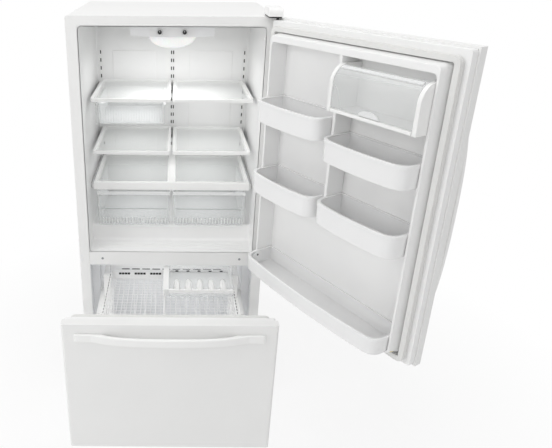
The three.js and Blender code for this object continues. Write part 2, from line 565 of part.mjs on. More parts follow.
// ---- Base and machine compartment ---------------------------------------------------------------
// One welded pan: front apron, deck, bulkhead, machine compartment ceiling, side runners, the
// compressor's plate, the fan motor on its post, and the forks that carry the rear rollers.
function baseFrame() {
  const half = INSIDE_HALF;
  const back = BASE_BACK;
  const apronHalf = OPENING_HALF - GAP;
  const sheets = [
    block(-apronHalf, apronHalf, 0, SHEET, DECK, FREEZER_MOUTH_FLOOR - LINER - GAP),
    block(-half, half, 0, MACHINE_FRONT + BASE_SHEET, DECK, DECK + BASE_SHEET),
    block(-half, half, MACHINE_FRONT, MACHINE_FRONT + BASE_SHEET, DECK, MACHINE_TOP + BASE_SHEET),
    block(-half, half, MACHINE_FRONT, back, MACHINE_TOP, MACHINE_TOP + BASE_SHEET),
    block(-half, half, MACHINE_FRONT + 4, back, BASE_PLATE, MACHINE_FLOOR)];
  const sides = bothSides((side) => join(
    sideBlock(side, half - BASE_SHEET, half, RUNNER_FRONT, back, RUNNER_BOTTOM, DECK + BASE_SHEET),
    sideBlock(side, half - RUNNER_WIDTH, half, RUNNER_FRONT, back, RUNNER_BOTTOM,
      RUNNER_BOTTOM + BASE_SHEET),
    sideBlock(side, LEG_X - NUT_SIZE / 2, LEG_X + NUT_SIZE / 2, LEG_Y - NUT_SIZE / 2,
      LEG_Y + NUT_SIZE / 2, RUNNER_BOTTOM, RUNNER_BOTTOM + NUT_HEIGHT)));
  const motor = join(
    block(FAN_X - 14, FAN_X + 14, FAN_Y + 24, FAN_Y + 48, BASE_PLATE, FAN_Z),
    rodY(24, FAN_Y + 16, FAN_Y + 58, FAN_X, FAN_Z),
    rodY(SHAFT_RADIUS, FAN_Y - 22, FAN_Y + 20, FAN_X, FAN_Z, 12));
  const bay = ROLLER_RADIUS + 4;
  const holes = bothSides((side) => join(
    rodZ(LEG_STEM_RADIUS + TURNING_CLEARANCE, RUNNER_BOTTOM - 1, RUNNER_BOTTOM + NUT_HEIGHT + 1,
      side * LEG_X, LEG_Y),
    sideBlock(side, ROLLER_X - ROLLER_WIDTH / 2 - 6, ROLLER_X + ROLLER_WIDTH / 2 + 6, ROLLER_Y - bay,
      ROLLER_Y + bay, RUNNER_BOTTOM - 1, RUNNER_BOTTOM + BASE_SHEET + 1)));
  const forks = bothSides((side) => {
    const cheeks = [-1, 1].map((end) => {
      const middle = ROLLER_X + end * (ROLLER_WIDTH / 2 + 3);
      return sideBlock(side, middle - 1, middle + 1, ROLLER_Y - 12, ROLLER_Y + 12, ROLLER_RADIUS - 9,
        BASE_PLATE + 1);
    });
    const reach = ROLLER_WIDTH / 2 + 4;
    return join(...cheeks, rodX(AXLE_RADIUS, side * ROLLER_X - reach, side * ROLLER_X + reach,
      ROLLER_Y, ROLLER_RADIUS, 12));
  });
  return join(cut(join(...sheets, ...sides, motor), ...holes), ...forks);
}

// A levelling leg: a round foot, a hexagon for the wrench and a stem up through the runner.
function frontLeg(side) {
  const x = side * LEG_X;
  return join(
    rodZ(LEG_FOOT_RADIUS, 0, 9, x, LEG_Y, 20),
    rodZ(LEG_STEM_RADIUS * 2, 8, RUNNER_BOTTOM - GAP, x, LEG_Y, 6),
    rodZ(LEG_STEM_RADIUS, RUNNER_BOTTOM - 1, RUNNER_BOTTOM + NUT_HEIGHT + 40, x, LEG_Y));
}

function rearRoller(side) {
  const x = side * ROLLER_X;
  return cut(
    rodX(ROLLER_RADIUS, x - ROLLER_WIDTH / 2, x + ROLLER_WIDTH / 2, ROLLER_Y, ROLLER_RADIUS, 28),
    rodX(AXLE_RADIUS + TURNING_CLEARANCE, x - ROLLER_WIDTH, x + ROLLER_WIDTH, ROLLER_Y, ROLLER_RADIUS, 12));
}

// The compressor: a domed can on a foot plate, with its terminal box on the side.
function compressor() {
  const floor = MACHINE_FLOOR + GAP;
  const r = COMPRESSOR_RADIUS;
  const h = COMPRESSOR_HEIGHT;
  const profile = [[0, 0.08], [0.85, 0.08], [0.97, 0.2], [1, 0.52], [0.94, 0.72], [0.7, 0.91], [0, 1]]
    .map(([radius, rise]) => new THREE.Vector2(radius * r, floor + rise * h));
  const can = new THREE.LatheGeometry(profile, 20).rotateX(Math.PI / 2)
    .translate(COMPRESSOR_X, COMPRESSOR_Y, 0);
  return join(can,
    block(COMPRESSOR_X - r * 1.15, COMPRESSOR_X + r * 1.15, COMPRESSOR_Y - r * 0.75,
      COMPRESSOR_Y + r * 0.75, floor, floor + h * 0.09),
    block(COMPRESSOR_X + r * 0.82, COMPRESSOR_X + r * 1.22, COMPRESSOR_Y - r * 0.35,
      COMPRESSOR_Y + r * 0.35, floor + h * 0.27, floor + h * 0.6));
}

// The condenser: tube rows between two end plates that stand on the base plate.
function condenserCoil() {
  const floor = MACHINE_FLOOR + GAP;
  const [x0, x1] = [FAN_X - CONDENSER_HALF_WIDTH, FAN_X + CONDENSER_HALF_WIDTH];
  const back = FAN_Y - CONDENSER_GAP;
  const front = back - CONDENSER_DEPTH;
  const rise = CONDENSER_HEIGHT / 5.5;
  const tubes = steps(5, floor + rise * 0.75, rise).flatMap((z) =>
    [0.25, 0.75].map((share) => rodX(4, x0, x1, front + share * CONDENSER_DEPTH, z, 8)));
  const plates = [x0, x1 - 2].map((x) => block(x, x + 2, front, back, floor, floor + CONDENSER_HEIGHT));
  return join(...tubes, ...plates);
}

function condenserFan() {
  const blades = [0, 1, 2, 3].map((index) => {
    const blade = new THREE.BoxGeometry(FAN_RADIUS - 12, 3, 44);
    blade.rotateX(Math.PI / 5).translate(FAN_RADIUS / 2 + 6, 0, 0);
    return blade.rotateY((index * Math.PI) / 2).translate(FAN_X, FAN_Y - 5, FAN_Z);
  });
  return cut(join(rodY(17, FAN_Y - 18, FAN_Y + 10, FAN_X, FAN_Z), ...blades),
    rodY(SHAFT_RADIUS + TURNING_CLEARANCE, FAN_Y - 30, FAN_Y + 30, FAN_X, FAN_Z, 12));
}

function machineCover() {
  const front = MACHINE_COVER_BACK - MACHINE_COVER;
  const panel = block(-INSIDE_HALF, INSIDE_HALF, front, MACHINE_COVER_BACK, MACHINE_FLOOR + GAP,
    MACHINE_TOP - GAP);
  const [xs, width] = slotRow(INSIDE_HALF - COVER_SLOT_MARGIN, 8, 0.7);
  return cut(panel, ...slotGrid(xs, width, steps(4, MACHINE_FLOOR + COVER_SLOT_MARGIN, COVER_SLOT_PITCH),
    COVER_SLOT_HEIGHT, front - 1, MACHINE_COVER_BACK + 1));
}

function toeGrille() {
  const back = RUNNER_FRONT - GAP;
  const front = back - GRILLE_THICKNESS;
  const panel = block(-INSIDE_HALF, INSIDE_HALF, front, back, SIDE_BOTTOM + 4, DECK - GAP);
  const [xs, width] = slotRow(INSIDE_HALF - GRILLE_SLOT_MARGIN, 6, 0.9);
  return cut(panel, ...slotGrid(xs, width, steps(3, SIDE_BOTTOM + GRILLE_SLOT_PITCH, GRILLE_SLOT_PITCH),
    GRILLE_SLOT_HEIGHT, front - 1, back + 1));
}

// ---- Cold coil ----------------------------------------------------------------------------------
function evaporatorCoil() {
  const half = COIL_HALF_WIDTH;
  const y = (COIL_COVER_Y + COIL_COVER_SHEET + FREEZER_BACK) / 2;
  const rise = COIL_HEIGHT / 6;
  const tubes = steps(5, HUMP_TOP + rise, rise).map((z) => rodX(5, -half, half, y, z, 8));
  const fins = steps(10, -half + 8, (2 * half - 18) / 9)
    .map((x) => block(x, x + 2, y - COIL_FIN_DEPTH / 2, y + COIL_FIN_DEPTH / 2, HUMP_TOP + GAP,
      HUMP_TOP + COIL_HEIGHT));
  return join(...tubes, ...fins);
}

function evaporatorCover() {
  const half = FREEZER_HALF - GAP;
  const back = COIL_COVER_Y + COIL_COVER_SHEET;
  const panel = block(-half, half, COIL_COVER_Y, back, HUMP_TOP + GAP, FREEZER_CEILING - GAP);
  const first = -(VENT_PITCH * (VENT_COUNT - 1) + VENT_WIDTH) / 2;
  return cut(panel, ...slotGrid(steps(VENT_COUNT, first, VENT_PITCH), VENT_WIDTH,
    VENT_RISES.map((rise) => HUMP_TOP + rise - VENT_HEIGHT / 2), VENT_HEIGHT, COIL_COVER_Y - 1, back + 1));
}

// ---- Hinges -------------------------------------------------------------------------------------
function topHinge() {
  const z = CABINET_HEIGHT + GAP;
  const leaf = rectangle(HINGE_X - 31, HINGE_X + 14, HINGE_Y - 16, 61, [14, 14, 3, 3]);
  return join(
    raised(leaf, z, z + HINGE_LEAF, 3),
    rodZ(PIN_RADIUS, DOOR_TOP - PIN_REACH, z + 1, HINGE_X, HINGE_Y));
}

// The plastic cap over the top hinge, rounded in side view and hollow from below.
function hingeCover() {
  const z = CABINET_HEIGHT + HINGE_LEAF + 2 * GAP;
  const top = z + HINGE_COVER_HEIGHT;
  const [y0, y1] = [HINGE_Y - 20, 62];
  const [x0, x1] = [HINGE_X - 33, HINGE_X + 15];
  const wall = 2.5;
  const side = rectangle(y0, y1, z, top, [0, 0, 12, 14]);
  return cut(acrossX(side, x0, x1, 3),
    block(x0 + wall, x1 - wall, y0 + wall, y1 - wall, z - 1, top - wall - 10),
    block(x0 + wall, x1 - wall, y0 + 14, y1 - 14, z - 1, top - wall));
}

// The middle hinge: a leaf in the gap between the fronts, a foot on the flange and a pin up.
function centerHinge() {
  const z = FRONT_MIDDLE - HINGE_LEAF / 2;
  const left = HINGE_X - 22;
  const foot = 3.5; // thickness of the foot on the flange
  const leaf = rectangle(left, HINGE_X + 12, HINGE_Y - 14, -GAP - foot + 1, [12, 12, 0, 0]);
  return join(
    raised(leaf, z, z + HINGE_LEAF, 3),
    block(left, HINGE_X + 5, -GAP - foot, -GAP, FRONT_MIDDLE - 11, FRONT_MIDDLE + 13),
    rodZ(PIN_RADIUS, z + 1, DOOR_BOTTOM + PIN_REACH, HINGE_X, HINGE_Y));
}

// ---- Inside the fridge --------------------------------------------------------------------------
function controlConsole() {
  const top = FRIDGE_CEILING - GAP;
  const half = CONSOLE_HALF_WIDTH;
  const face = new THREE.Shape();
  face.moveTo(-half, top);
  face.lineTo(-half + 3, CONSOLE_BOTTOM + CONSOLE_SAG);
  face.quadraticCurveTo(0, CONSOLE_BOTTOM - CONSOLE_SAG, half - 3, CONSOLE_BOTTOM + CONSOLE_SAG);
  face.lineTo(half, top);
  const room = block(-half + 12, half - 12, CONSOLE_FRONT + 3, CONSOLE_BACK - 3, CONSOLE_BOTTOM + 9, top + 1);
  const bosses = bothSides((side) => rodY(KNOB_BOSS_RADIUS, CONSOLE_FRONT - 5, CONSOLE_FRONT + 2,
    (side * KNOB_SPACING) / 2, KNOB_Z));
  return join(cut(alongY(face, CONSOLE_FRONT, CONSOLE_BACK, 8), room), ...bosses);
}

function knob(side) {
  const x = (side * KNOB_SPACING) / 2;
  const front = CONSOLE_FRONT - GAP - KNOB_DEPTH;
  return cut(
    join(rodY(KNOB_RADIUS, front, CONSOLE_FRONT - GAP, x, KNOB_Z, 20),
      block(x - 1.2, x + 1.2, front - 1.5, front + 1, KNOB_Z + 1, KNOB_Z + KNOB_RADIUS - 1)),
    rodY(KNOB_BOSS_RADIUS + TURNING_CLEARANCE, CONSOLE_FRONT - 6, CONSOLE_FRONT, x, KNOB_Z));
}

// The lamp lens: half an oval bowl hung under the console, open above.
function lightLens() {
  const top = CONSOLE_BOTTOM - GAP;
  const bowl = (inset) => {
    const shape = new THREE.Shape();
    shape.moveTo(-LENS_HALF_WIDTH + inset, top + inset);
    shape.absellipse(0, top + inset, LENS_HALF_WIDTH - inset, LENS_DROP, Math.PI, 2 * Math.PI, false);
    return alongY(shape, LENS_FRONT + inset, LENS_BACK - inset, 12);
  };
  return cut(bowl(0), bowl(LENS_WALL));
}

function lightSwitch() {
  const behind = FRIDGE_HALF + LINER + GAP;
  return join(
    rodX(SWITCH_RADIUS, FRIDGE_HALF - SWITCH_REACH, behind + 6, SWITCH_Y, SWITCH_Z),
    rodX(SWITCH_RADIUS + 3, behind, behind + 2.5, SWITCH_Y, SWITCH_Z));
}

// A steel track on the rear wall, with one or two columns of slots for the shelf hooks.
function shelfTrack(x, columns) {
  const half = TRACK_WIDTH / 2;
  const highest = TRACK_TOP - TRACK_END - SLOT_HEIGHT / 2;
  const lowest = highest - TRACK_PITCH * (TRACK_SLOTS - 1);
  const slots = columns.flatMap((column) => slotGrid([x + column - SLOT_WIDTH / 2], SLOT_WIDTH,
    steps(TRACK_SLOTS, lowest, TRACK_PITCH), SLOT_HEIGHT, TRACK_FRONT - 1, FRIDGE_BACK));
  const strip = block(x - half, x + half, TRACK_FRONT, TRACK_FRONT + TRACK_THICKNESS,
    lowest - TRACK_END, TRACK_TOP);
  return cut(strip, ...slots);
}

// Two L-shaped runners under the upper left shelf carry the deli drawer's flanges.
function deliRunners(bottom) {
  const front = SHELF_FRONT + 25;
  const foot = DELI_RUNNER_FOOT;
  const sheet = DELI_RUNNER_SHEET;
  return [
    block(DELI_LEFT - 2 * sheet, DELI_LEFT - sheet, front, DELI_BACK, foot, bottom + 1),
    block(DELI_LEFT - 2 * sheet, DELI_LEFT + 4, front, DELI_BACK, foot, foot + sheet),
    block(DELI_RIGHT + sheet, DELI_RIGHT + 2 * sheet, front, DELI_BACK, foot, bottom + 1),
    block(DELI_RIGHT - 4, DELI_RIGHT + 2 * sheet, front, DELI_BACK, foot, foot + sheet)];
}

// A cantilever half shelf: a frame moulded round its pane, on two tapered steel brackets.
function halfShelf(side, top, extras = []) {
  const [inner, outer] = [SHELF_MIDDLE_GAP / 2, SHELF_HALF];
  const bottom = top - SHELF_THICKNESS;
  const edge = SHELF_BORDER * 0.65;
  const arm = outline([
    [SHELF_FRONT + 30, bottom + 1], [SHELF_FRONT + 36, bottom - 6],
    [TRACK_FRONT - GAP, bottom - BRACKET_HEIGHT], [TRACK_FRONT - GAP, bottom + 1]]);
  const armAt = (near) => {
    const x = side < 0 ? -near - BRACKET_THICKNESS : near;
    return acrossX(arm, x, x + BRACKET_THICKNESS);
  };
  const frame = cut(
    sideBlock(side, inner, outer, SHELF_FRONT, SHELF_BACK, bottom, top),
    sideBlock(side, inner + edge, outer - edge, SHELF_FRONT + edge, SHELF_BACK - edge, top - 1, top + 1),
    sideBlock(side, inner + SHELF_BORDER, outer - SHELF_BORDER, SHELF_FRONT + SHELF_BORDER,
      SHELF_BACK - SHELF_BORDER, bottom - 1, top - 1 - GLASS));
  return join(frame, armAt(inner + 1), armAt(outer - 1 - BRACKET_THICKNESS), ...extras);
}

// An open-topped tub.
const tub = (x0, x1, y0, y1, z0, z1) => cut(
  block(x0, x1, y0, y1, z0, z1),
  block(x0 + TUB_WALL, x1 - TUB_WALL, y0 + TUB_WALL, y1 - TUB_WALL, z0 + TUB_WALL, z1 + 1));

function deliDrawer() {
  const inset = 6; // the tub stands in from the flanges that ride on the runners
  const z0 = DELI_TOP - DELI_HEIGHT;
  const foot = DELI_RUNNER_FOOT + DELI_RUNNER_SHEET + GAP;
  const [y0, y1] = [SHELF_FRONT + 4, DELI_BACK - 4];
  return join(
    tub(DELI_LEFT + inset, DELI_RIGHT - inset, y0, y1, z0, DELI_TOP),
    block(DELI_LEFT - 1, DELI_LEFT + inset + 1, y0, y1, foot, foot + 3),
    block(DELI_RIGHT - inset - 1, DELI_RIGHT + 1, y0, y1, foot, foot + 3),
    block(DELI_LEFT, DELI_RIGHT, SHELF_FRONT, y0 + 1, z0, DELI_TOP));
}

function crisper(side) {
  const near = CRISPER_MIDDLE_GAP / 2;
  const [x0, x1] = side < 0 ? [-CRISPER_HALF, -near] : [near, CRISPER_HALF];
  return join(
    tub(x0, x1, CRISPER_FRONT, CRISPER_BACK, PLATEAU + GAP, CRISPER_TOP),
    block(x0, x1, CRISPER_FRONT - 7, CRISPER_FRONT + 1, CRISPER_TOP - CRISPER_LIP, CRISPER_TOP));
}

// The crisper cover: a front rail and a slab with two panes and a broad middle rail.
function crisperCover() {
  const bottom = COVER_TOP - SHELF_THICKNESS;
  const outer = COVER_HALF - SHELF_BORDER;
  const [y0, y1] = [SHELF_FRONT + SHELF_BORDER, COVER_BACK - SHELF_BORDER];
  const panes = bothSides((side) => join(
    sideBlock(side, COVER_DIVIDER / 2, outer, y0, y1, COVER_TOP - 1, COVER_TOP + 1),
    sideBlock(side, COVER_DIVIDER / 2 + 4, outer - 4, y0 + 4, y1 - 4, bottom - 1, COVER_TOP - 1 - GLASS)));
  return cut(join(
    block(-COVER_HALF, COVER_HALF, SHELF_FRONT, COVER_BACK, bottom, COVER_TOP),
    block(-COVER_HALF, COVER_HALF, SHELF_FRONT, SHELF_FRONT + COVER_RAIL_DEPTH, COVER_TOP - COVER_RAIL,
      COVER_TOP)), ...panes);
}

// ---- Door and drawer fronts ---------------------------------------------------------------------
const skinPlan = (inset, back) => rectangle(-FRONT_HALF + inset, FRONT_HALF - inset, FRONT_FACE + inset,
  back, [SKIN_RADIUS - inset, SKIN_RADIUS - inset, 0, 0]);

// The painted steel skin: a pan with rounded upright edges.
const steelPan = (z0, z1) => cut(
  raised(skinPlan(0, SKIN_BACK), z0, z1, 3),
  raised(skinPlan(SHEET, SKIN_BACK + 1), z0 + SHEET, z1 - SHEET, 3));

// The plastic rim behind the skin, as a block of a given inset.
const rimBlock = (inset, front, z0, z1) => block(-RIM_HALF + inset, RIM_HALF - inset, front,
  RIM_BACK - inset, z0 + RIM_INSET + inset, z1 - RIM_INSET - inset);

// Foam behind a front panel, up to the rim.
function foamCore(z0, z1) {
  const skin = SHEET + GAP;
  return join(
    raised(skinPlan(skin, RIM_FRONT - GAP), z0 + skin, z1 - skin, 3),
    rimBlock(LINER + GAP, RIM_FRONT - GAP - 1, z0, z1));
}

// A gasket frame on the rim.
const gasket = (low, high) => cut(
  block(-GASKET_HALF - GASKET_WIDTH, GASKET_HALF + GASKET_WIDTH, RIM_BACK + GAP, GASKET_FACE,
    low - GASKET_WIDTH, high + GASKET_WIDTH),
  block(-GASKET_HALF, GASKET_HALF, RIM_BACK, GASKET_FACE + 1, low, high));

// A bowed handle lying in plan: flat end pads on the face and a bar standing out between them.
function bowHandle() {
  const half = HANDLE_LENGTH / 2;
  const padEnd = half - HANDLE_PAD;
  const barEnd = half - HANDLE_PAD * 0.6;
  const seat = FRONT_FACE - GAP;
  const pad = seat - HANDLE_PAD_THICKNESS;
  const far = seat - HANDLE_STAND;
  const inner = far + HANDLE_THICKNESS;
  const shape = new THREE.Shape();
  shape.moveTo(-half, seat);
  shape.lineTo(-half, pad + 4);
  shape.lineTo(-half + 6, pad);
  shape.lineTo(-barEnd, pad);
  shape.bezierCurveTo(-half * 0.6, far + 6, -half * 0.35, far, 0, far);
  shape.bezierCurveTo(half * 0.35, far, half * 0.6, far + 6, barEnd, pad);
  shape.lineTo(half - 6, pad);
  shape.lineTo(half, pad + 4);
  shape.lineTo(half, seat);
  shape.lineTo(padEnd, seat);
  shape.bezierCurveTo(padEnd * 0.85, inner + 4, padEnd * 0.4, inner, 0, inner);
  shape.bezierCurveTo(-padEnd * 0.4, inner, -padEnd * 0.85, inner + 4, -padEnd, seat);
  return raised(shape, -HANDLE_WIDTH / 2, HANDLE_WIDTH / 2, 7);
}

// ---- Fridge door --------------------------------------------------------------------------------
// A block whose section at y0 tapers to another at y1; a section is [half width, bottom, top].
function taper(y0, [half0, low0, high0], y1, [half1, low1, high1]) {
  const corners = [
    [-half0, y0, low0], [half0, y0, low0], [half0, y0, high0], [-half0, y0, high0],
    [-half1, y1, low1], [half1, y1, low1], [half1, y1, high1], [-half1, y1, high1]];
  const faces = [
    [0, 1, 2], [0, 2, 3], [4, 6, 5], [4, 7, 6], [0, 5, 1], [0, 4, 5],
    [1, 6, 2], [1, 5, 6], [2, 7, 3], [2, 6, 7], [3, 4, 0], [3, 7, 4]];
  const geometry = new THREE.BufferGeometry();
  geometry.setAttribute('position', new THREE.Float32BufferAttribute(corners.flat(), 3));
  geometry.setIndex(faces.flat());
  return geometry;
}

// The dike: steep up to the cabinet's front face, then nearly straight to its crest.
function dike(inset) {
  const section = (index) =>
    [DIKE_HALVES[index] - inset, DIKE_SILLS[index] + inset, DIKE_TOPS[index] - inset];
  return join(
    taper(RIM_BACK - LINER - 1, section(0), 0, section(1)),
    taper(0, section(1), DIKE_CREST - inset, section(2)));
}

const recess = (grow) => block(-RECESS_HALF - grow, RECESS_HALF + grow, RECESS_BACK - grow,
  DIKE_CREST + 1, RECESS_BOTTOM - grow, RECESS_TOP + grow);

const divider = (inset, back) => block(
  DIVIDER_X - DIVIDER_WIDTH / 2 + inset, DIVIDER_X + DIVIDER_WIDTH / 2 - inset,
  back, DIKE_CREST - inset, DIVIDER_BOTTOM + inset, RECESS_TOP + LINER - inset);

const hingeBores = () => [
  [DOOR_BOTTOM - 1, DOOR_BOTTOM + PIN_REACH + 1], [DOOR_TOP - PIN_REACH - 1, DOOR_TOP + 1]]
  .map(([z0, z1]) => rodZ(PIN_RADIUS + TURNING_CLEARANCE, z0, z1, HINGE_X, HINGE_Y));

function doorLiner() {
  const recessShell = block(-RECESS_HALF - LINER, RECESS_HALF + LINER, RECESS_BACK - LINER, 0,
    RECESS_BOTTOM - LINER, RECESS_TOP + LINER);
  const outside = cut(join(rimBlock(0, RIM_FRONT, DOOR_BOTTOM, DOOR_TOP), dike(0), recessShell), recess(0));
  const hollow = cut(
    join(rimBlock(LINER, RIM_FRONT - 1, DOOR_BOTTOM, DOOR_TOP), dike(LINER)), recess(LINER));
  return cut(
    join(cut(outside, hollow), divider(0, RECESS_BACK - LINER)),
    divider(LINER, RECESS_BACK - LINER - 1), ...hingeBores());
}

function doorFoam() {
  const clear = LINER + GAP;
  const core = cut(join(foamCore(DOOR_BOTTOM, DOOR_TOP), dike(clear)), recess(clear));
  return cut(join(core, divider(clear, RECESS_BACK - clear - 1)), ...hingeBores());
}

// A door bin in plan: straight back in the recess, rounded ends and a bowed front.
function binPlan(x0, x1, end, bow, inset) {
  const [a, b] = [x0 + inset, x1 - inset];
  const back = RECESS_BACK + GAP + inset;
  const corner = BIN_CORNER;
  const reach = (b - a) / 2 - corner;
  const rise = (bow - end) / (1 + reach / (2 * corner));
  const near = end - inset;
  const shape = new THREE.Shape();
  shape.moveTo(a, back);
  shape.lineTo(b, back);
  shape.lineTo(b, near - corner);
  shape.quadraticCurveTo(b, near, b - corner, near + rise);
  shape.quadraticCurveTo((a + b) / 2, near + rise * (1 + reach / corner), a + corner, near + rise);
  shape.quadraticCurveTo(a, near, a, near - corner);
  return shape;
}

const doorBin = ([x0, x1], floor, rim, end, bow) => cut(
  raised(binPlan(x0, x1, end, bow, 0), floor, rim, 5),
  raised(binPlan(x0, x1, end, bow, TUB_WALL), floor + TUB_WALL, rim + 1, 5));

// The dairy compartment in side view: square below, quarter-round above.
function dairySide(back, inset, bottom) {
  const front = DAIRY_FRONT - inset;
  const top = DAIRY_TOP - inset;
  const radius = DAIRY_ROUND - inset;
  const shape = new THREE.Shape();
  shape.moveTo(back, bottom);
  shape.lineTo(front, bottom);
  shape.lineTo(front, top - radius);
  shape.absarc(front - radius, top - radius, radius, 0, Math.PI / 2, false);
  shape.lineTo(back, top);
  return shape;
}

function dairyBox() {
  const [x0, x1] = FREE_COLUMN;
  const back = RECESS_BACK + GAP;
  const cheeks = [[x0, x0 + DAIRY_CHEEK], [x1 - DAIRY_CHEEK, x1]]
    .map(([a, b]) => acrossX(dairySide(back, 0, DAIRY_BOTTOM), a, b, 5));
  const holes = [x0 + DAIRY_CHEEK, x1 - DAIRY_CHEEK].map((x) => rodX(
    DAIRY_PIVOT_RADIUS + TURNING_CLEARANCE, x - 5.5, x + 5.5, DAIRY_PIVOT_Y, DAIRY_PIVOT_Z, 12));
  return cut(join(
    ...cheeks,
    block(x0 + 1, x1 - 1, back, DAIRY_FRONT - 6, DAIRY_BOTTOM, DAIRY_BOTTOM + 3),
    block(x0 + 1, x1 - 1, DAIRY_FRONT - 9, DAIRY_FRONT - 6, DAIRY_BOTTOM, DAIRY_BOTTOM + 12),
    block(x0 + 1, x1 - 1, back, back + 3, DAIRY_BOTTOM, DAIRY_TOP - 30)), ...holes);
}

// The clear dairy cover: a sheet bent to the cheeks' curve, with pivot pins at its upper edge.
function dairyCover() {
  const [a, b] = [FREE_COLUMN[0] + DAIRY_CHEEK + 1, FREE_COLUMN[1] - DAIRY_CHEEK - 1];
  const bottom = DAIRY_BOTTOM + 4;
  const hood = cut(
    acrossX(dairySide(0, 1, bottom), a, b, 5),
    acrossX(dairySide(-1, 1 + DAIRY_COVER_SHEET, bottom - 1), a - 1, b + 1, 5),
    block(a - 1, b + 1, -1, DAIRY_PIVOT_Y - 10, bottom - 1, DAIRY_TOP));
  return join(
    hood,
    block(a, b, DAIRY_PIVOT_Y - 6, DAIRY_PIVOT_Y + 2, DAIRY_PIVOT_Z - 3, DAIRY_PIVOT_Z + 5.5),
    rodX(DAIRY_PIVOT_RADIUS, a - 5, b + 5, DAIRY_PIVOT_Y, DAIRY_PIVOT_Z, 12));
}

// ---- Freezer drawer -----------------------------------------------------------------------------
// The bowed plug that enters the freezer's mouth.
function plug(inset, back) {
  const half = PLUG_HALF - inset;
  const [end, bow] = [PLUG_END - inset, PLUG_BOW - inset];
  const plan = new THREE.Shape();
  plan.moveTo(-half, back);
  plan.lineTo(half, back);
  plan.lineTo(half, end);
  plan.quadraticCurveTo(half / 2, bow, 0, bow);
  plan.quadraticCurveTo(-half / 2, bow, -half, end);
  return raised(plan, PLUG_BOTTOM + inset, PLUG_TOP - inset, 6);
}

const drawerLiner = () => cut(
  join(rimBlock(0, RIM_FRONT, DRAWER_BOTTOM, DRAWER_TOP), plug(0, RIM_BACK - LINER)),
  rimBlock(LINER, RIM_FRONT - 1, DRAWER_BOTTOM, DRAWER_TOP), plug(LINER, RIM_BACK - LINER - 1));

const drawerFoam = () => join(
  foamCore(DRAWER_BOTTOM, DRAWER_TOP), plug(LINER + GAP, RIM_BACK - LINER - GAP - 1));

const slideBar = (side, inner, outer, inset) => sideBlock(side, inner, outer, SLIDE_FRONT, SLIDE_BACK,
  SLIDE_LOW + inset, SLIDE_HIGH - inset);

// The cabinet's rail: a channel that faces inwards.
function slideRail(side) {
  const channel = sideBlock(side, RAIL_OUTER - SLIDE_THICKNESS - 1, RAIL_OUTER - SLIDE_WEB, SLIDE_FRONT - 1,
    SLIDE_BACK + 1, SLIDE_LOW + RAIL_LIP, SLIDE_HIGH - RAIL_LIP);
  return cut(slideBar(side, RAIL_OUTER - SLIDE_THICKNESS, RAIL_OUTER, 0), channel);
}

// The middle member: a tongue in the cabinet rail's channel and a channel of its own.
function slideMid(side) {
  const channel = sideBlock(side, MID_OUTER - SLIDE_THICKNESS - 1, MID_OUTER - 2 * SLIDE_WEB,
    SLIDE_FRONT - 1, SLIDE_BACK + 1, SLIDE_LOW + MID_LIP, SLIDE_HIGH - MID_LIP);
  return cut(join(
    slideBar(side, MID_OUTER - SLIDE_THICKNESS, MID_OUTER, 3),
    slideBar(side, MID_OUTER - SLIDE_WEB, RAIL_OUTER - SLIDE_WEB - GAP, RAIL_LIP + GAP)), channel);
}

// The drawer's frame: a rail on each side, feet on the plug, uprights with ledges under the
// basket's rim, and a cross bar behind.
function drawerFrame() {
  const inner = BASKET_HALF_WIDTH + 6;
  const ledgeTop = BASKET_RIM - RIM_WIRE / 2 - GAP;
  const ledge = BASKET_PITCH / 2;
  const rear = BASKET_BACK - 32;
  const low = BASKET_STEP - 24;
  const sides = bothSides((side) => join(
    slideBar(side, inner, MID_OUTER - 2 * SLIDE_WEB - GAP, MID_LIP + GAP),
    sideBlock(side, inner, FRAME_OUTER, PLUG_END, SLIDE_FRONT + 1, SLIDE_LOW - 20, SLIDE_HIGH + 10),
    sideBlock(side, inner, FRAME_OUTER, SLIDE_FRONT, BASKET_FRONT + 36, SLIDE_LOW + MID_LIP + GAP, ledgeTop),
    sideBlock(side, inner - 9, FRAME_OUTER, BASKET_FRONT + 12, BASKET_FRONT + 12 + ledge,
      ledgeTop - 6, ledgeTop),
    sideBlock(side, inner, FRAME_OUTER, rear, rear + 22, low, ledgeTop),
    sideBlock(side, inner - 9, FRAME_OUTER, rear, rear + ledge, ledgeTop - 6, ledgeTop)));
  const crossBar = block(-FRAME_OUTER, FRAME_OUTER, rear + 8, rear + 18, low, low + 12);
  return cut(join(...sides, crossBar), plug(-GAP, RIM_BACK));
}

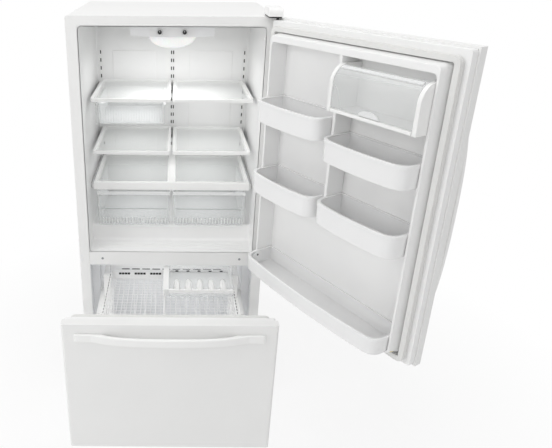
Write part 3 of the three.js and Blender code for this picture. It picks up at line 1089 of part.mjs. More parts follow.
// The wire basket: a heavy rim, bent wires along and across, a raised step over the hump and a
// middle wire on which the tray's left edge runs.
function wireBasket() {
  const w = WIRE / 2;
  const r = RIM_WIRE / 2;
  const half = BASKET_HALF_WIDTH;
  const [front, back] = [BASKET_FRONT, BASKET_BACK];
  const along = (x, y0, y1, z, size) => block(x - size, x + size, y0 - size, y1 + size, z - size, z + size);
  const across = (y, z, size) => block(-half - size, half + size, y - size, y + size, z - size, z + size);
  const upright = (x, y, z0, z1) => block(x - w, x + w, y - w, y + w, z0, z1);
  const crossWire = (y, z) => block(-half, half, y - w, y + w, z - w, z + w);
  const rim = [across(front, BASKET_RIM, r), across(back, BASKET_RIM, r),
    ...[-half, half, TRAY_LEFT + RIM_WIRE].map((x) => along(x, front, back, BASKET_RIM, r))];
  const columnCount = Math.round((2 * half) / BASKET_PITCH);
  const columns = steps(columnCount + 1, -half, (2 * half) / columnCount).flatMap((x) => [
    upright(x, front, BASKET_FLOOR, BASKET_RIM), along(x, front, BASKET_STEP_Y, BASKET_FLOOR, w),
    upright(x, BASKET_STEP_Y, BASKET_FLOOR, BASKET_STEP), along(x, BASKET_STEP_Y, back, BASKET_STEP, w),
    upright(x, back, BASKET_STEP, BASKET_RIM)]);
  const rowPitch = (back - front) / Math.round((back - front) / BASKET_PITCH);
  const rows = steps(Math.round((back - front) / BASKET_PITCH) - 1, front + rowPitch, rowPitch)
    .flatMap((y) => {
      const under = (y > BASKET_STEP_Y - WIRE ? BASKET_STEP : BASKET_FLOOR) - WIRE + 1;
      const side = half - WIRE + 1;
      const risers = [-side, side].map((x) => upright(x, y + 1, under, BASKET_RIM));
      return [crossWire(y, under), ...risers];
    });
  const bandPitch = BASKET_DEPTH / 4;
  const bands = steps(3, BASKET_FLOOR + bandPitch, bandPitch).map((z) => crossWire(front + WIRE - 1, z));
  return join(...rim, ...columns, ...rows, ...bands);
}

// The half-width tray that slides on the basket's rim.
function freezerTray() {
  const floor = BASKET_RIM + RIM_WIRE / 2 + GAP;
  const top = floor + TRAY_HEIGHT;
  const [x0, x1] = [TRAY_LEFT, BASKET_HALF_WIDTH];
  const [y0, y1] = [TRAY_FRONT, TRAY_FRONT + TRAY_DEPTH];
  return cut(
    block(x0, x1, y0, y1, floor, top),
    block(x0 + TRAY_CHEEK, x1 - TRAY_WALL, y0 + TRAY_WALL, y1 - TRAY_WALL, floor + TRAY_WALL, top + 1));
}

// ---- Put together -------------------------------------------------------------------------------
const refrigerator = new THREE.Group();
const cabinet = new THREE.Group();
const door = new THREE.Group();
const drawer = new THREE.Group();
const slideMids = new THREE.Group();
refrigerator.add(cabinet, door, drawer, slideMids);

function add(group, name, body, material) {
  const mesh = new THREE.Mesh(geometryOf(body), material);
  mesh.name = name;
  group.add(mesh);
}
const SIDES = { left: -1, right: 1 };

add(cabinet, 'cabinet_wrapper', cabinetWrapper(), WHITE_PAINT);
add(cabinet, 'cabinet_foam', cabinetFoam(), FOAM);
add(cabinet, 'fridge_liner', fridgeLiner(), WHITE_PLASTIC);
add(cabinet, 'freezer_liner', freezerLiner(), FREEZER_PLASTIC);
add(cabinet, 'mullion_rail', mullionRail(), WHITE_PAINT);
add(cabinet, 'base_frame', baseFrame(), ZINC);
add(cabinet, 'compressor', compressor(), BLACK_STEEL);
add(cabinet, 'condenser_coil', condenserCoil(), BLACK_STEEL);
add(cabinet, 'condenser_fan', condenserFan(), BLACK_PLASTIC);
add(cabinet, 'machine_cover', machineCover(), BOARD);
add(cabinet, 'toe_grille', toeGrille(), WHITE_PLASTIC);
add(cabinet, 'evaporator_coil', evaporatorCoil(), ALUMINIUM);
add(cabinet, 'evaporator_cover', evaporatorCover(), WHITE_PLASTIC);
add(cabinet, 'top_hinge', topHinge(), BLACK_STEEL);
add(cabinet, 'hinge_cover', hingeCover(), WHITE_PLASTIC);
add(cabinet, 'center_hinge', centerHinge(), ZINC);
add(cabinet, 'control_console', controlConsole(), GREY_PLASTIC);
add(cabinet, 'fridge_knob', knob(-1), BLACK_PLASTIC);
add(cabinet, 'freezer_knob', knob(1), BLACK_PLASTIC);
add(cabinet, 'light_lens', lightLens(), WHITE_PLASTIC);
add(cabinet, 'light_switch', lightSwitch(), WHITE_PLASTIC);
add(cabinet, 'shelf_track_left', shelfTrack(-SHELF_HALF, [0]), WHITE_PAINT);
add(cabinet, 'shelf_track_center', shelfTrack(0, [-SLOT_PAIR / 2, SLOT_PAIR / 2]), WHITE_PAINT);
add(cabinet, 'shelf_track_right', shelfTrack(SHELF_HALF, [0]), WHITE_PAINT);
const runners = deliRunners(UPPER_SHELF - SHELF_THICKNESS);
add(cabinet, 'shelf_upper_left', halfShelf(-1, UPPER_SHELF, runners), WHITE_PLASTIC);
add(cabinet, 'shelf_upper_right', halfShelf(1, UPPER_SHELF), WHITE_PLASTIC);
add(cabinet, 'shelf_lower_left', halfShelf(-1, LOWER_SHELF), WHITE_PLASTIC);
add(cabinet, 'shelf_lower_right', halfShelf(1, LOWER_SHELF), WHITE_PLASTIC);
add(cabinet, 'deli_drawer', deliDrawer(), CLEAR_PLASTIC);
add(cabinet, 'crisper_cover', crisperCover(), WHITE_PLASTIC);
for (const [name, side] of Object.entries(SIDES)) {
  add(cabinet, `crisper_${name}`, crisper(side), CLEAR_PLASTIC);
  add(cabinet, `slide_rail_${name}`, slideRail(side), ZINC);
  add(cabinet, `front_leg_${name}`, frontLeg(side), BLACK_PLASTIC);
  add(cabinet, `rear_roller_${name}`, rearRoller(side), BLACK_PLASTIC);
  add(slideMids, `slide_mid_${name}`, slideMid(side), ZINC);
}

add(door, 'door_panel', steelPan(DOOR_BOTTOM, DOOR_TOP), WHITE_PAINT);
add(door, 'door_foam', doorFoam(), FOAM);
add(door, 'door_liner', doorLiner(), WHITE_PLASTIC);
add(door, 'door_gasket', gasket(DIKE_SILLS[0] - 1.5, DIKE_TOPS[0] + 1.5), WHITE_RUBBER);
const uprightHandle = bowHandle().rotateY(Math.PI / 2)
  .translate(-FRONT_HALF + DOOR_HANDLE_INSET, 0, DOOR_HANDLE_Z);
add(door, 'door_handle', uprightHandle, WHITE_PLASTIC);
add(door, 'dairy_box', dairyBox(), WHITE_PLASTIC);
add(door, 'dairy_cover', dairyCover(), CLEAR_PLASTIC);
for (const [place, { share, height }] of Object.entries(BINS)) {
  const rim = recessShare(share);
  const column = place.endsWith('left') ? HINGE_COLUMN : FREE_COLUMN;
  add(door, `bin_${place}`, doorBin(column, rim - height, rim, BIN_END, BIN_BOW), WHITE_PLASTIC);
}
add(door, 'bin_bottom', doorBin(WHOLE_WIDTH, RECESS_BOTTOM + GAP, RECESS_BOTTOM + BOTTOM_BIN_HEIGHT,
  BOTTOM_BIN_END, BOTTOM_BIN_BOW), WHITE_PLASTIC);

add(drawer, 'drawer_panel', steelPan(DRAWER_BOTTOM, DRAWER_TOP), WHITE_PAINT);
add(drawer, 'drawer_foam', drawerFoam(), FOAM);
add(drawer, 'drawer_liner', drawerLiner(), WHITE_PLASTIC);
add(drawer, 'drawer_gasket', gasket(FREEZER_MOUTH_FLOOR - 6, FREEZER_MOUTH_TOP - 8), WHITE_RUBBER);
add(drawer, 'drawer_handle', bowHandle().translate(0, 0, DRAWER_HANDLE_Z), WHITE_PLASTIC);
add(drawer, 'drawer_frame', drawerFrame(), ZINC);
add(drawer, 'wire_basket', wireBasket(), WHITE_WIRE);
add(drawer, 'freezer_tray', freezerTray(), WHITE_PLASTIC);

// Turn the door about its hinge line and pull the drawer out; the slides' middles go half as far.
for (const mesh of door.children) mesh.position.set(-HINGE_X, -HINGE_Y, 0);
door.position.set(HINGE_X, HINGE_Y, 0);
door.rotation.z = THREE.MathUtils.degToRad(DOOR_OPEN_ANGLE);
drawer.position.y = -DRAWER_OUT;
slideMids.position.y = -DRAWER_OUT / 2;

refrigerator.updateMatrixWorld(true);
const extent = new THREE.Box3().setFromObject(refrigerator, true);
refrigerator.position.set(
  -(extent.min.x + extent.max.x) / 2, -(extent.min.y + extent.max.y) / 2, -extent.min.z);
refrigerator.updateMatrixWorld(true);

export default refrigerator;
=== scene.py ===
# %% [markdown]
# # A bottom freezer refrigerator
# The refrigerator stands with its door open and its freezer drawer pulled out. This script
# gives each visible part its real surface: painted steel, moulded plastic, glass, wire and so
# on.

# %% Load the frame
import math

import bpy
import bmesh
from mathutils import Matrix, Vector


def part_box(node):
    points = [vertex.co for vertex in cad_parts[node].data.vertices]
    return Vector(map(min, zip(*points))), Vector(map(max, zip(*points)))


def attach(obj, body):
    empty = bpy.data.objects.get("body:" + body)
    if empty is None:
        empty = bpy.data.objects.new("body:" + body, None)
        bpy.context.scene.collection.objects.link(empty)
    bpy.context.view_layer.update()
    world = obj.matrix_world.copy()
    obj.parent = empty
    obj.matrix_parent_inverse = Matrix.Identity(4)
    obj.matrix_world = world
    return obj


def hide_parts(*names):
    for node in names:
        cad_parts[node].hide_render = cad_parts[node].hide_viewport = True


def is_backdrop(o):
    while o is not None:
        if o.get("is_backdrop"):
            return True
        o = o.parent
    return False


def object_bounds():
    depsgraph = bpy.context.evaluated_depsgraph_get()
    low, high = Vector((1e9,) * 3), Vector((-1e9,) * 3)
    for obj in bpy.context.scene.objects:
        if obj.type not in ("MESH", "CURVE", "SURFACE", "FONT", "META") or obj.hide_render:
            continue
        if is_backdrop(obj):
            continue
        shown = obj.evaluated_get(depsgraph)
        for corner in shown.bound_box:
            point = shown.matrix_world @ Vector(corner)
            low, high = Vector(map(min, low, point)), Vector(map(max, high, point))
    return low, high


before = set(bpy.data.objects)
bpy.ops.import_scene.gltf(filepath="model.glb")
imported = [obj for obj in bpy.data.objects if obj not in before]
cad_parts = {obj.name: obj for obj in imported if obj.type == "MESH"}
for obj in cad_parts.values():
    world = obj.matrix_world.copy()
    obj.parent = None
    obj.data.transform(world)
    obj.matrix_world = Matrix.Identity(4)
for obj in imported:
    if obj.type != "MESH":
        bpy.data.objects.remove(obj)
cad_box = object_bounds()
print("solids in the frame:", len(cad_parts))

# %% [markdown]
# ## Where things are drawn
# A maker draws a door closed and a drawer pushed in, because then every size is square to the
# cabinet. The same is done here, in millimetres: x = 0 is the middle of the cabinet, y = 0 its
# front face with the room at -y, and z = 0 the floor. One matrix for each group then takes a
# finished mesh to its place: the door turned about its hinge, the drawer pulled out.

# %% Matrices for cabinet, door and drawer
MM = 0.001
DOOR_OPEN = math.radians(121)
DRAWER_OUT = 362
HINGE = Vector((361, -31, 0)) * MM
shell_low, shell_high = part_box("cabinet_wrapper")
CABINET_PLACE = Matrix.Translation(((shell_low.x + shell_high.x) / 2, shell_low.y, 0))
PLACES = {
    "cabinet": CABINET_PLACE,
    "door": (CABINET_PLACE @ Matrix.Translation(HINGE) @ Matrix.Rotation(DOOR_OPEN, 4, "Z")
             @ Matrix.Translation(-HINGE)),
    "drawer": CABINET_PLACE @ Matrix.Translation((0, -DRAWER_OUT * MM, 0)),
}
print("cabinet middle at x =", round(CABINET_PLACE.translation.x, 4))

# %% [markdown]
# ## Camera
# The camera comes first, so that every later choice can be judged in its view. It stands about two
# metres in front of the cabinet at the height of its top and looks 23 degrees down. A slight shift
# frames the object without turning the camera, which keeps the uprights at the same slant. The
# picture is 552 pixels wide and 448 high.

# %% Add the camera
CAMERA_AT = Vector((13.14, -2071.56, 1878.27)) * MM
LOOK_DOWN = math.radians(22.95)
LOOK_ASIDE = math.radians(-0.15)
CAMERA_ROLL = math.radians(0.35)
FILM_WIDTH, FOCAL_LENGTH = 36, 37.46
CAMERA_SHIFT = (0.1862, -0.0542)  # shares of the picture's width
forward = Vector((math.sin(LOOK_ASIDE) * math.cos(LOOK_DOWN),
                  math.cos(LOOK_ASIDE) * math.cos(LOOK_DOWN), -math.sin(LOOK_DOWN)))
level_right = Vector((math.cos(LOOK_ASIDE), -math.sin(LOOK_ASIDE), 0))
level_up = level_right.cross(forward)
right = level_right * math.cos(CAMERA_ROLL) + level_up * math.sin(CAMERA_ROLL)
up = level_up * math.cos(CAMERA_ROLL) - level_right * math.sin(CAMERA_ROLL)
camera = bpy.data.objects.new("camera", bpy.data.cameras.new("camera"))
bpy.context.scene.collection.objects.link(camera)
camera.matrix_world = CABINET_PLACE @ Matrix.Translation(CAMERA_AT) @ Matrix(
    (right, up, -forward)).transposed().to_4x4()
camera.data.sensor_width = FILM_WIDTH
camera.data.lens = FOCAL_LENGTH
camera.data.shift_x, camera.data.shift_y = CAMERA_SHIFT
bpy.context.scene.camera = camera
print("camera lens", camera.data.lens, "mm")

# %% [markdown]
# ## Helpers for nodes and meshes
# Materials and geometry trees are both made of nodes, so one small function adds a node of either
# kind, with its settings and links. Colours are written as on a screen, in sRGB hex, and one
# function turns them to the linear values that a renderer adds and multiplies.

# %% Node and colour helpers
def add_node(tree, kind, inputs=None, **settings):
    """Add a node; an input is given a value or the output socket it is linked to."""
    made = tree.nodes.new(kind)
    for key, value in settings.items():
        setattr(made, key, value)
    for key, value in (inputs or {}).items():
        if isinstance(value, bpy.types.NodeSocket):
            tree.links.new(value, made.inputs[key])
        else:
            made.inputs[key].default_value = value
    return made


def linear(hex_colour, alpha=1.0):
    """Turn an sRGB hex colour to linear values."""
    channels = [int(hex_colour[at:at + 2], 16) / 255 for at in (1, 3, 5)]
    return tuple(c / 12.92 if c <= 0.04045 else ((c + 0.055) / 1.055) ** 2.4
                 for c in channels) + (alpha,)


print("white enamel in linear values:", [round(c, 3) for c in linear("#f0f0ee")])

# %% [markdown]
# Most parts of a refrigerator are sheets and mouldings whose sections are rounded rectangles. A
# loft joins such sections one after the other, as a skin over ribs. That is quick to write and
# keeps corners clean, where cutting boxes from boxes would leave untidy faces.

# %% Mesh helpers: rings and lofts
def rounded_ring(a0, a1, b0, b1, radius, corner=5, side=1):
    """Points round a rectangle with rounded corners, anticlockwise."""
    r = max(radius, 0.05)  # a sharp corner still keeps its points apart
    corners = []
    for a, b, start in ((a1 - r, b0 + r, -90), (a1 - r, b1 - r, 0),
                        (a0 + r, b1 - r, 90), (a0 + r, b0 + r, 180)):
        corners.append(arc((a, b), (r, r), corner, start, start + 90))
    points = []
    for index, bow in enumerate(corners):
        following = corners[(index + 1) % 4][0]
        points += bow
        points += [tuple(Vector(bow[-1]).lerp(Vector(following), step / side))
                   for step in range(1, side)]
    return points


def arc(middle, radii, steps, start=0, stop=360):
    """Points along a circle or an oval, in degrees; a full turn doesn't repeat its first point."""
    count = steps if stop - start == 360 else steps + 1
    turns = [math.radians(start + (stop - start) * k / steps) for k in range(count)]
    return [(middle[0] + radii[0] * math.cos(t), middle[1] + radii[1] * math.sin(t))
            for t in turns]


def bend(start, tip, stop, share):
    """A point on the curve that leaves start towards a tip and runs from the tip into stop."""
    first = Vector(start).lerp(Vector(tip), share)
    return first.lerp(Vector(tip).lerp(Vector(stop), share), share)


def tidy_normals(mesh, towards=None):
    """Point the faces outwards, or, on an open sheet, towards the side that is seen."""
    work = bmesh.new()
    work.from_mesh(mesh)
    bmesh.ops.remove_doubles(work, verts=work.verts, dist=1e-6)
    bmesh.ops.recalc_face_normals(work, faces=work.faces)
    if towards is not None:
        total = sum((f.normal * f.calc_area() for f in work.faces), Vector())
        if total.dot(Vector(towards)) < 0:
            bmesh.ops.reverse_faces(work, faces=work.faces)
    work.to_mesh(mesh)
    work.free()
    return mesh


def loft(name, rings, cap_start=True, loop=False, towards=None):
    """A mesh over rings of equally many points, in millimetres, with its faces outwards."""
    count = len(rings[0])
    mesh = bpy.data.meshes.new(name)
    faces = []
    for index in range(len(rings) if loop else len(rings) - 1):
        a, b = index * count, (index + 1) % len(rings) * count
        faces += [(a + k, a + (k + 1) % count, b + (k + 1) % count, b + k) for k in range(count)]
    if cap_start and not loop:
        faces.append(tuple(reversed(range(count))))
    if not loop:
        faces.append(tuple(range((len(rings) - 1) * count, len(rings) * count)))
    mesh.from_pydata([Vector(p) * MM for ring in rings for p in ring], [], faces)
    return tidy_normals(mesh, towards)


def block(x0, x1, y0, y1, z0, z1):
    """A box, to be rounded later."""
    ring = [(x0, y0), (x1, y0), (x1, y1), (x0, y1)]
    return loft("block", [[(*p, z) for p in ring] for z in (z0, z1)])


def prism_x(outline, x0, x1):
    """An outline in (y, z), drawn out along x."""
    return loft("prism", [[(x, *p) for p in outline] for x in (x0, x1)])


def upright_plate(x0, x1, z0, z1, corner_radius, *depths):
    """A plate that faces the front, with round corners, between two depths."""
    ring = rounded_ring(x0, x1, z0, z1, corner_radius)
    return loft("plate", [[(x, y, z) for x, z in ring] for y in depths])


def together(*meshes):
    """Several meshes in one."""
    work = bmesh.new()
    for mesh in meshes:
        work.from_mesh(mesh)
    joined = bpy.data.meshes.new("joined")
    work.to_mesh(joined)
    work.free()
    return joined


SIDES = (("left", -1), ("right", 1))


def span(side, near, far):
    """Two distances from the middle as x values on one side, the smaller one first."""
    return sorted((side * near, side * far))


print("a test ring has", len(rounded_ring(0, 10, 0, 10, 2)), "points")

# %% [markdown]
# A moulding has no knife edges, so nearly every piece gets a Bevel of the real edge's size. A
# weighted normal keeps the flat faces flat in the light beside those rounded edges. `finished`
# settles the modifiers, takes the mesh to its place and ties it to the body that carries it.
# `carried_over` does the same for a solid whose shape is already right.

# %% Finish a piece
DRAWN_WITH = {"door": "door", "dairy_cover": "door", "drawer": "drawer", "freezer_tray": "drawer"}
ROUNDED_ABOVE = math.radians(28)  # a bevel leaves shallower edges alone


def settled(obj):
    """Replace an object's mesh by the result of its modifiers."""
    graph = bpy.context.evaluated_depsgraph_get()
    graph.update()
    result = bpy.data.meshes.new_from_object(obj.evaluated_get(graph))
    obj.modifiers.clear()
    obj.data = result
    return obj


def finished(name, mesh, material, body, slot, replaces=None, bevel=0.0, segments=3, wall=0.0,
             sharp=35, in_place=False):
    """Turn a mesh into a finished piece that rides on a body."""
    obj = bpy.data.objects.new(name, mesh)
    bpy.context.scene.collection.objects.link(obj)
    if bevel:
        rounding = obj.modifiers.new("rounding", "BEVEL")
        rounding.width = bevel * MM
        rounding.segments = segments
        rounding.limit_method = "ANGLE"
        rounding.angle_limit = ROUNDED_ABOVE
    if wall:
        thickness = obj.modifiers.new("wall", "SOLIDIFY")
        thickness.thickness = wall * MM
        thickness.offset = -1
    settled(obj)
    mesh = obj.data
    if not in_place:
        mesh.transform(PLACES[DRAWN_WITH.get(body, "cabinet")])
    mesh.materials.clear()
    mesh.materials.append(material)
    mesh.shade_smooth()
    mesh.set_sharp_from_angle(angle=math.radians(sharp))
    weighted = obj.modifiers.new("weighted", "WEIGHTED_NORMAL")
    weighted.keep_sharp = True
    settled(obj)
    obj.data.name = name
    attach(obj, body)
    if replaces:
        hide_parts(replaces)
    return obj


def softened(node):
    """A merged copy of a solid from the frame, with its flat faces whole, ready for a bevel."""
    work = bmesh.new()
    work.from_mesh(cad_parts[node].data)
    bmesh.ops.remove_doubles(work, verts=work.verts, dist=2e-6)
    bmesh.ops.dissolve_limit(work, angle_limit=math.radians(0.6), verts=work.verts,
                             edges=work.edges)
    copy = bpy.data.meshes.new(node)
    work.to_mesh(copy)
    work.free()
    return copy


def carried_over(name, node, material, body, slot, bevel, segments=3):
    """A solid from the frame as it stands, with rounded edges."""
    finished(name, softened(node), material, body, slot, replaces=node, bevel=bevel,
             segments=segments, in_place=True)


print("helpers ready")

# %% [markdown]
# ## Geometry trees
# Three small Geometry Nodes trees make everything that repeats or follows a path. `wires` turns a
# skeleton of lines into round wire. `copies` sets a shape on every point of a mesh. `row` sets it
# along a straight row. Their sizes are named inputs, so one tree serves many parts.

# %% Build the three trees
def new_tree(name, inputs):
    """A geometry tree with its named inputs, its input node and its output node."""
    tree = bpy.data.node_groups.new(name, "GeometryNodeTree")
    tree.interface.new_socket("Geometry", in_out="INPUT", socket_type="NodeSocketGeometry")
    for label, kind in inputs:
        tree.interface.new_socket(label, in_out="INPUT", socket_type=kind)
    tree.interface.new_socket("Geometry", in_out="OUTPUT", socket_type="NodeSocketGeometry")
    return tree, add_node(tree, "NodeGroupInput"), add_node(tree, "NodeGroupOutput")


def close_tree(tree, given, end, geometry):
    """End a tree in real geometry with its material set."""
    real = add_node(tree, "GeometryNodeRealizeInstances", {"Geometry": geometry})
    coated = add_node(tree, "GeometryNodeSetMaterial",
                      {"Geometry": real.outputs[0], "Material": given.outputs["Material"]})
    tree.links.new(coated.outputs[0], end.inputs[0])


def set_on_points(tree, given, points):
    """Set the given shape on points and return the socket with all of them."""
    shape = add_node(tree, "GeometryNodeObjectInfo", {"Object": given.outputs["Shape"]})
    return add_node(tree, "GeometryNodeInstanceOnPoints",
                    {"Points": points, "Instance": shape.outputs["Geometry"]}).outputs[0]


wires, given, end = new_tree("wires", (("Radius", "NodeSocketFloat"), ("Sides", "NodeSocketInt"),
                                       ("Material", "NodeSocketMaterial")))
lines = add_node(wires, "GeometryNodeMeshToCurve", {"Mesh": given.outputs["Geometry"]})
section = add_node(wires, "GeometryNodeCurvePrimitiveCircle",
                   {"Resolution": given.outputs["Sides"], "Radius": given.outputs["Radius"]})
drawn_wire = add_node(wires, "GeometryNodeCurveToMesh",
                      {"Curve": lines.outputs[0], "Profile Curve": section.outputs[0],
                       "Fill Caps": True})
smooth_wire = add_node(wires, "GeometryNodeSetShadeSmooth", {"Geometry": drawn_wire.outputs[0]})
close_tree(wires, given, end, smooth_wire.outputs[0])

copies, given, end = new_tree("copies", (("Shape", "NodeSocketObject"),
                                         ("Material", "NodeSocketMaterial")))
close_tree(copies, given, end, set_on_points(copies, given, given.outputs["Geometry"]))

row, given, end = new_tree("row", (("Shape", "NodeSocketObject"), ("Count", "NodeSocketInt"),
                                   ("Start", "NodeSocketVector"), ("Step", "NodeSocketVector"),
                                   ("Material", "NodeSocketMaterial")))
row_points = add_node(row, "GeometryNodeMeshLine",
                      {"Count": given.outputs["Count"], "Start Location": given.outputs["Start"],
                       "Offset": given.outputs["Step"]}, mode="OFFSET")
close_tree(row, given, end, set_on_points(row, given, row_points.outputs[0]))
print("trees:", wires.name, copies.name, row.name)

# %% [markdown]
# A tree only works as a modifier on an object. `grown` puts it on a short-lived object, fills in
# its inputs, takes the plain mesh and clears up. `wire` and `in_a_row` are its two common uses, so
# that a part's own lines hold only its sizes in millimetres.

# %% Grow a mesh from a tree
def grown(tree, skeleton=None, shape=None, **values):
    """Run a tree on a skeleton mesh and return the plain mesh that it makes."""
    pattern = None
    if shape is not None:
        pattern = bpy.data.objects.new("pattern", shape)
        bpy.context.scene.collection.objects.link(pattern)
        values["Shape"] = pattern
    maker = bpy.data.objects.new("maker", skeleton or bpy.data.meshes.new("start"))
    bpy.context.scene.collection.objects.link(maker)
    modifier = maker.modifiers.new("tree", "NODES")
    modifier.node_group = tree
    for item in tree.interface.items_tree:
        if item.in_out == "INPUT" and item.name in values:
            modifier[item.identifier] = values[item.name]
    result = settled(maker).data
    bpy.data.objects.remove(maker)
    if pattern is not None:
        bpy.data.objects.remove(pattern)
    return result


def wire(paths, radius, sides, material):
    """Round wire along separate paths."""
    points, edges = [], []
    for path in paths:
        edges += [(len(points) + k, len(points) + k + 1) for k in range(len(path) - 1)]
        points += [Vector(p) * MM for p in path]
    skeleton = bpy.data.meshes.new("lines")
    skeleton.from_pydata(points, edges, [])
    return grown(wires, skeleton, Radius=radius * MM, Sides=sides, Material=material)


def in_a_row(shape, count, start, step, material):
    """Copies of a shape, each one step further on."""
    return grown(row, shape=shape, Count=count, Start=Vector(start) * MM, Step=Vector(step) * MM,
                 Material=material)


def bent(points, radius, steps=4):
    """A path whose inner corners are bent to a radius, as a wire is."""
    path = [Vector(points[0])]
    for before, here, after in zip(points, points[1:], points[2:]):
        here = Vector(here)
        start = here + (Vector(before) - here).normalized() * radius
        stop = here + (Vector(after) - here).normalized() * radius
        path += [bend(start, here, stop, step / steps) for step in range(steps + 1)]
    path.append(Vector(points[-1]))
    return path


print("a bent corner has", len(bent([(0, 0, 0), (10, 0, 0), (10, 10, 0)], 3)), "points")

# %% [markdown]
# ## Materials
# A white appliance is many different whites. Sprayed enamel is smooth with a faint orange peel,
# vacuum formed polystyrene is softer and a little translucent, injection moulded ABS is glossier.
# Each material starts from a principled shader; small noise patterns, sized in real millimetres,
# drive its roughness and bump.

# %% Start a material
def new_material(name, colour, roughness, metallic=0.0, ior=1.5):
    """A principled material; returns it with its tree and shader."""
    material = bpy.data.materials.new(name)
    material.use_nodes = True
    tree = material.node_tree
    shader = tree.nodes["Principled BSDF"]
    shader.inputs["Base Color"].default_value = linear(colour)
    shader.inputs["Roughness"].default_value = roughness
    shader.inputs["Metallic"].default_value = metallic
    if not metallic:
        shader.inputs["IOR"].default_value = ior
    return material, tree, shader


def grain(tree, size_mm, detail=2.0, stretch=(1, 1, 1)):
    """A noise pattern on object coordinates whose grains are size_mm across."""
    place = add_node(tree, "ShaderNodeTexCoord")
    turned = add_node(tree, "ShaderNodeMapping", {"Vector": place.outputs["Object"],
                                                  "Scale": stretch})
    return add_node(tree, "ShaderNodeTexNoise", {"Vector": turned.outputs[0],
                                                 "Scale": 1000 / size_mm,
                                                 "Detail": detail}).outputs[0]


def cells(tree, size_mm):
    """A pattern of cells size_mm across."""
    place = add_node(tree, "ShaderNodeTexCoord")
    return add_node(tree, "ShaderNodeTexVoronoi", {"Vector": place.outputs["Object"],
                                                   "Scale": 1000 / size_mm})


def bump(tree, shader, height, depth_mm):
    """Bump of a real depth."""
    relief = add_node(tree, "ShaderNodeBump", {"Height": height, "Distance": depth_mm * MM})
    tree.links.new(relief.outputs[0], shader.inputs["Normal"])


def vary(tree, shader, factor, socket, low, high):
    """Let a pattern move a value between two ends."""
    spread = add_node(tree, "ShaderNodeMapRange", {"Value": factor, "To Min": low, "To Max": high})
    tree.links.new(spread.outputs[0], shader.inputs[socket])


def tint(tree, shader, factor, first, second):
    """Let a pattern mix two colours."""
    mixed = add_node(tree, "ShaderNodeMix", {"Factor": factor, "A": linear(first),
                                             "B": linear(second)}, data_type="RGBA")
    tree.links.new(mixed.outputs["Result"], shader.inputs["Base Color"])


print("material helpers ready")

# %% [markdown]
# **Sprayed enamel on steel.** Polyester enamel baked on the cabinet and the fronts. The eye sees
# a clean satin white whose reflections are slightly broken by orange peel, about 2 mm across. It
# is drawn 3 mm across so that it shows. A broad pattern makes the gloss a little uneven. Other
# coated and drawn metals need only one fine grain, so `fine_grained` makes them all.

# %% Enamels and fine grained metals
enamel, tree, shader = new_material("sprayed_enamel_on_steel", "#ececeb", 0.3)
bump(tree, shader, grain(tree, 3.0), 0.01)
wipe = grain(tree, 180.0, detail=3.0)
vary(tree, shader, wipe, "Roughness", 0.26, 0.38)
tint(tree, shader, wipe, "#ebebea", "#efefee")


def fine_grained(name, colour, grain_mm, smooth, rough, depth_mm=0.0, stretch=(1, 1, 1),
                 metallic=0.0):
    """A material whose gloss, and height where it has a depth, follow one fine grain."""
    material, tree, shader = new_material(name, colour, (smooth + rough) / 2, metallic)
    pattern = grain(tree, grain_mm, stretch=stretch)
    if depth_mm:
        bump(tree, shader, pattern, depth_mm)
    vary(tree, shader, pattern, "Roughness", smooth, rough)
    return material


# grey paint with orange peel on brackets and edge strips; the grey is painted shade of the gaps
# beside them
gap_shade_enamel = fine_grained("grey_enamel_painted_gap_shade", "#8b8e91", 3.0, 0.34, 0.46, 0.01)
# thick dipped paint that runs a little, so its highlights wander
black_steel = fine_grained("black_japanned_steel", "#1b1c1d", 2.5, 0.3, 0.5, 0.03)
# rolling leaves fine streaks along the fins, which stretch the highlight
fin_metal = fine_grained("rolled_aluminium_fin", "#c8cacc", 1.5, 0.28, 0.5,
                         stretch=(1, 1, 0.05), metallic=1.0)
# bright plating with faint tool marks
screw_steel = fine_grained("plated_screw_steel", "#9a9da0", 0.6, 0.24, 0.42, metallic=1.0)
print("enamels and metals:", enamel.name, gap_shade_enamel.name, black_steel.name)

# %% [markdown]
# **Moulded plastics.** Each takes a fine texture from its mould, drifts a little in colour over
# about 120 mm and has a soft gloss. A thin coat stands for the skin that forms where the plastic
# touched a polished mould. The lens glows a little, as its bulb is lit behind frosted plastic.

# %% Liner, ABS, vinyl and lens
def moulded(name, colour, second, roughness, texture_mm, depth_mm, sheen=0.0):
    """A moulded plastic: a fine mould texture, faint colour drift and a soft gloss."""
    material, tree, shader = new_material(name, colour, roughness, ior=1.54)
    bump(tree, shader, grain(tree, texture_mm), depth_mm)
    drift = grain(tree, 120.0)
    tint(tree, shader, drift, colour, second)
    vary(tree, shader, drift, "Roughness", roughness - 0.05, roughness + 0.06)
    shader.inputs["Coat Weight"].default_value = sheen
    shader.inputs["Coat Roughness"].default_value = 0.2
    return material


# soft white sheet with a thin gloss
liner_white = moulded("vacuum_formed_polystyrene", "#f3f3f2", "#efefef", 0.34, 2.2, 0.012,
                      sheen=0.25)
# the same sheet, greyer, a little cooler and duller; the grey is painted shade of the deep cold
# compartment
shaded_freezer_white = moulded("vacuum_formed_polystyrene_freezer_shade", "#e9eaeb", "#e4e5e7", 0.45, 2.2, 0.02)
# crisp, slightly glossy white of handles, shelf frames and trims
abs_white = moulded("moulded_white_abs", "#f0f0ef", "#f4f4f3", 0.32, 1.2, 0.008, sheen=0.2)
# a shade off white, matt, so that the console stands out from the ceiling
abs_grey = moulded("moulded_grey_abs", "#eeeeef", "#e9eaeb", 0.4, 1.2, 0.012)
# the flat printed field behind the knobs
dial_grey = moulded("moulded_dial_field", "#ededed", "#e9e9e9", 0.4, 1.2, 0.008)
# near black with a broad dull highlight
abs_black = moulded("moulded_black_abs", "#19191a", "#222224", 0.35, 1.0, 0.01)
# rubbery off-white that scatters every highlight
vinyl = moulded("soft_white_vinyl", "#e4e4e2", "#dcdcda", 0.6, 1.5, 0.03)
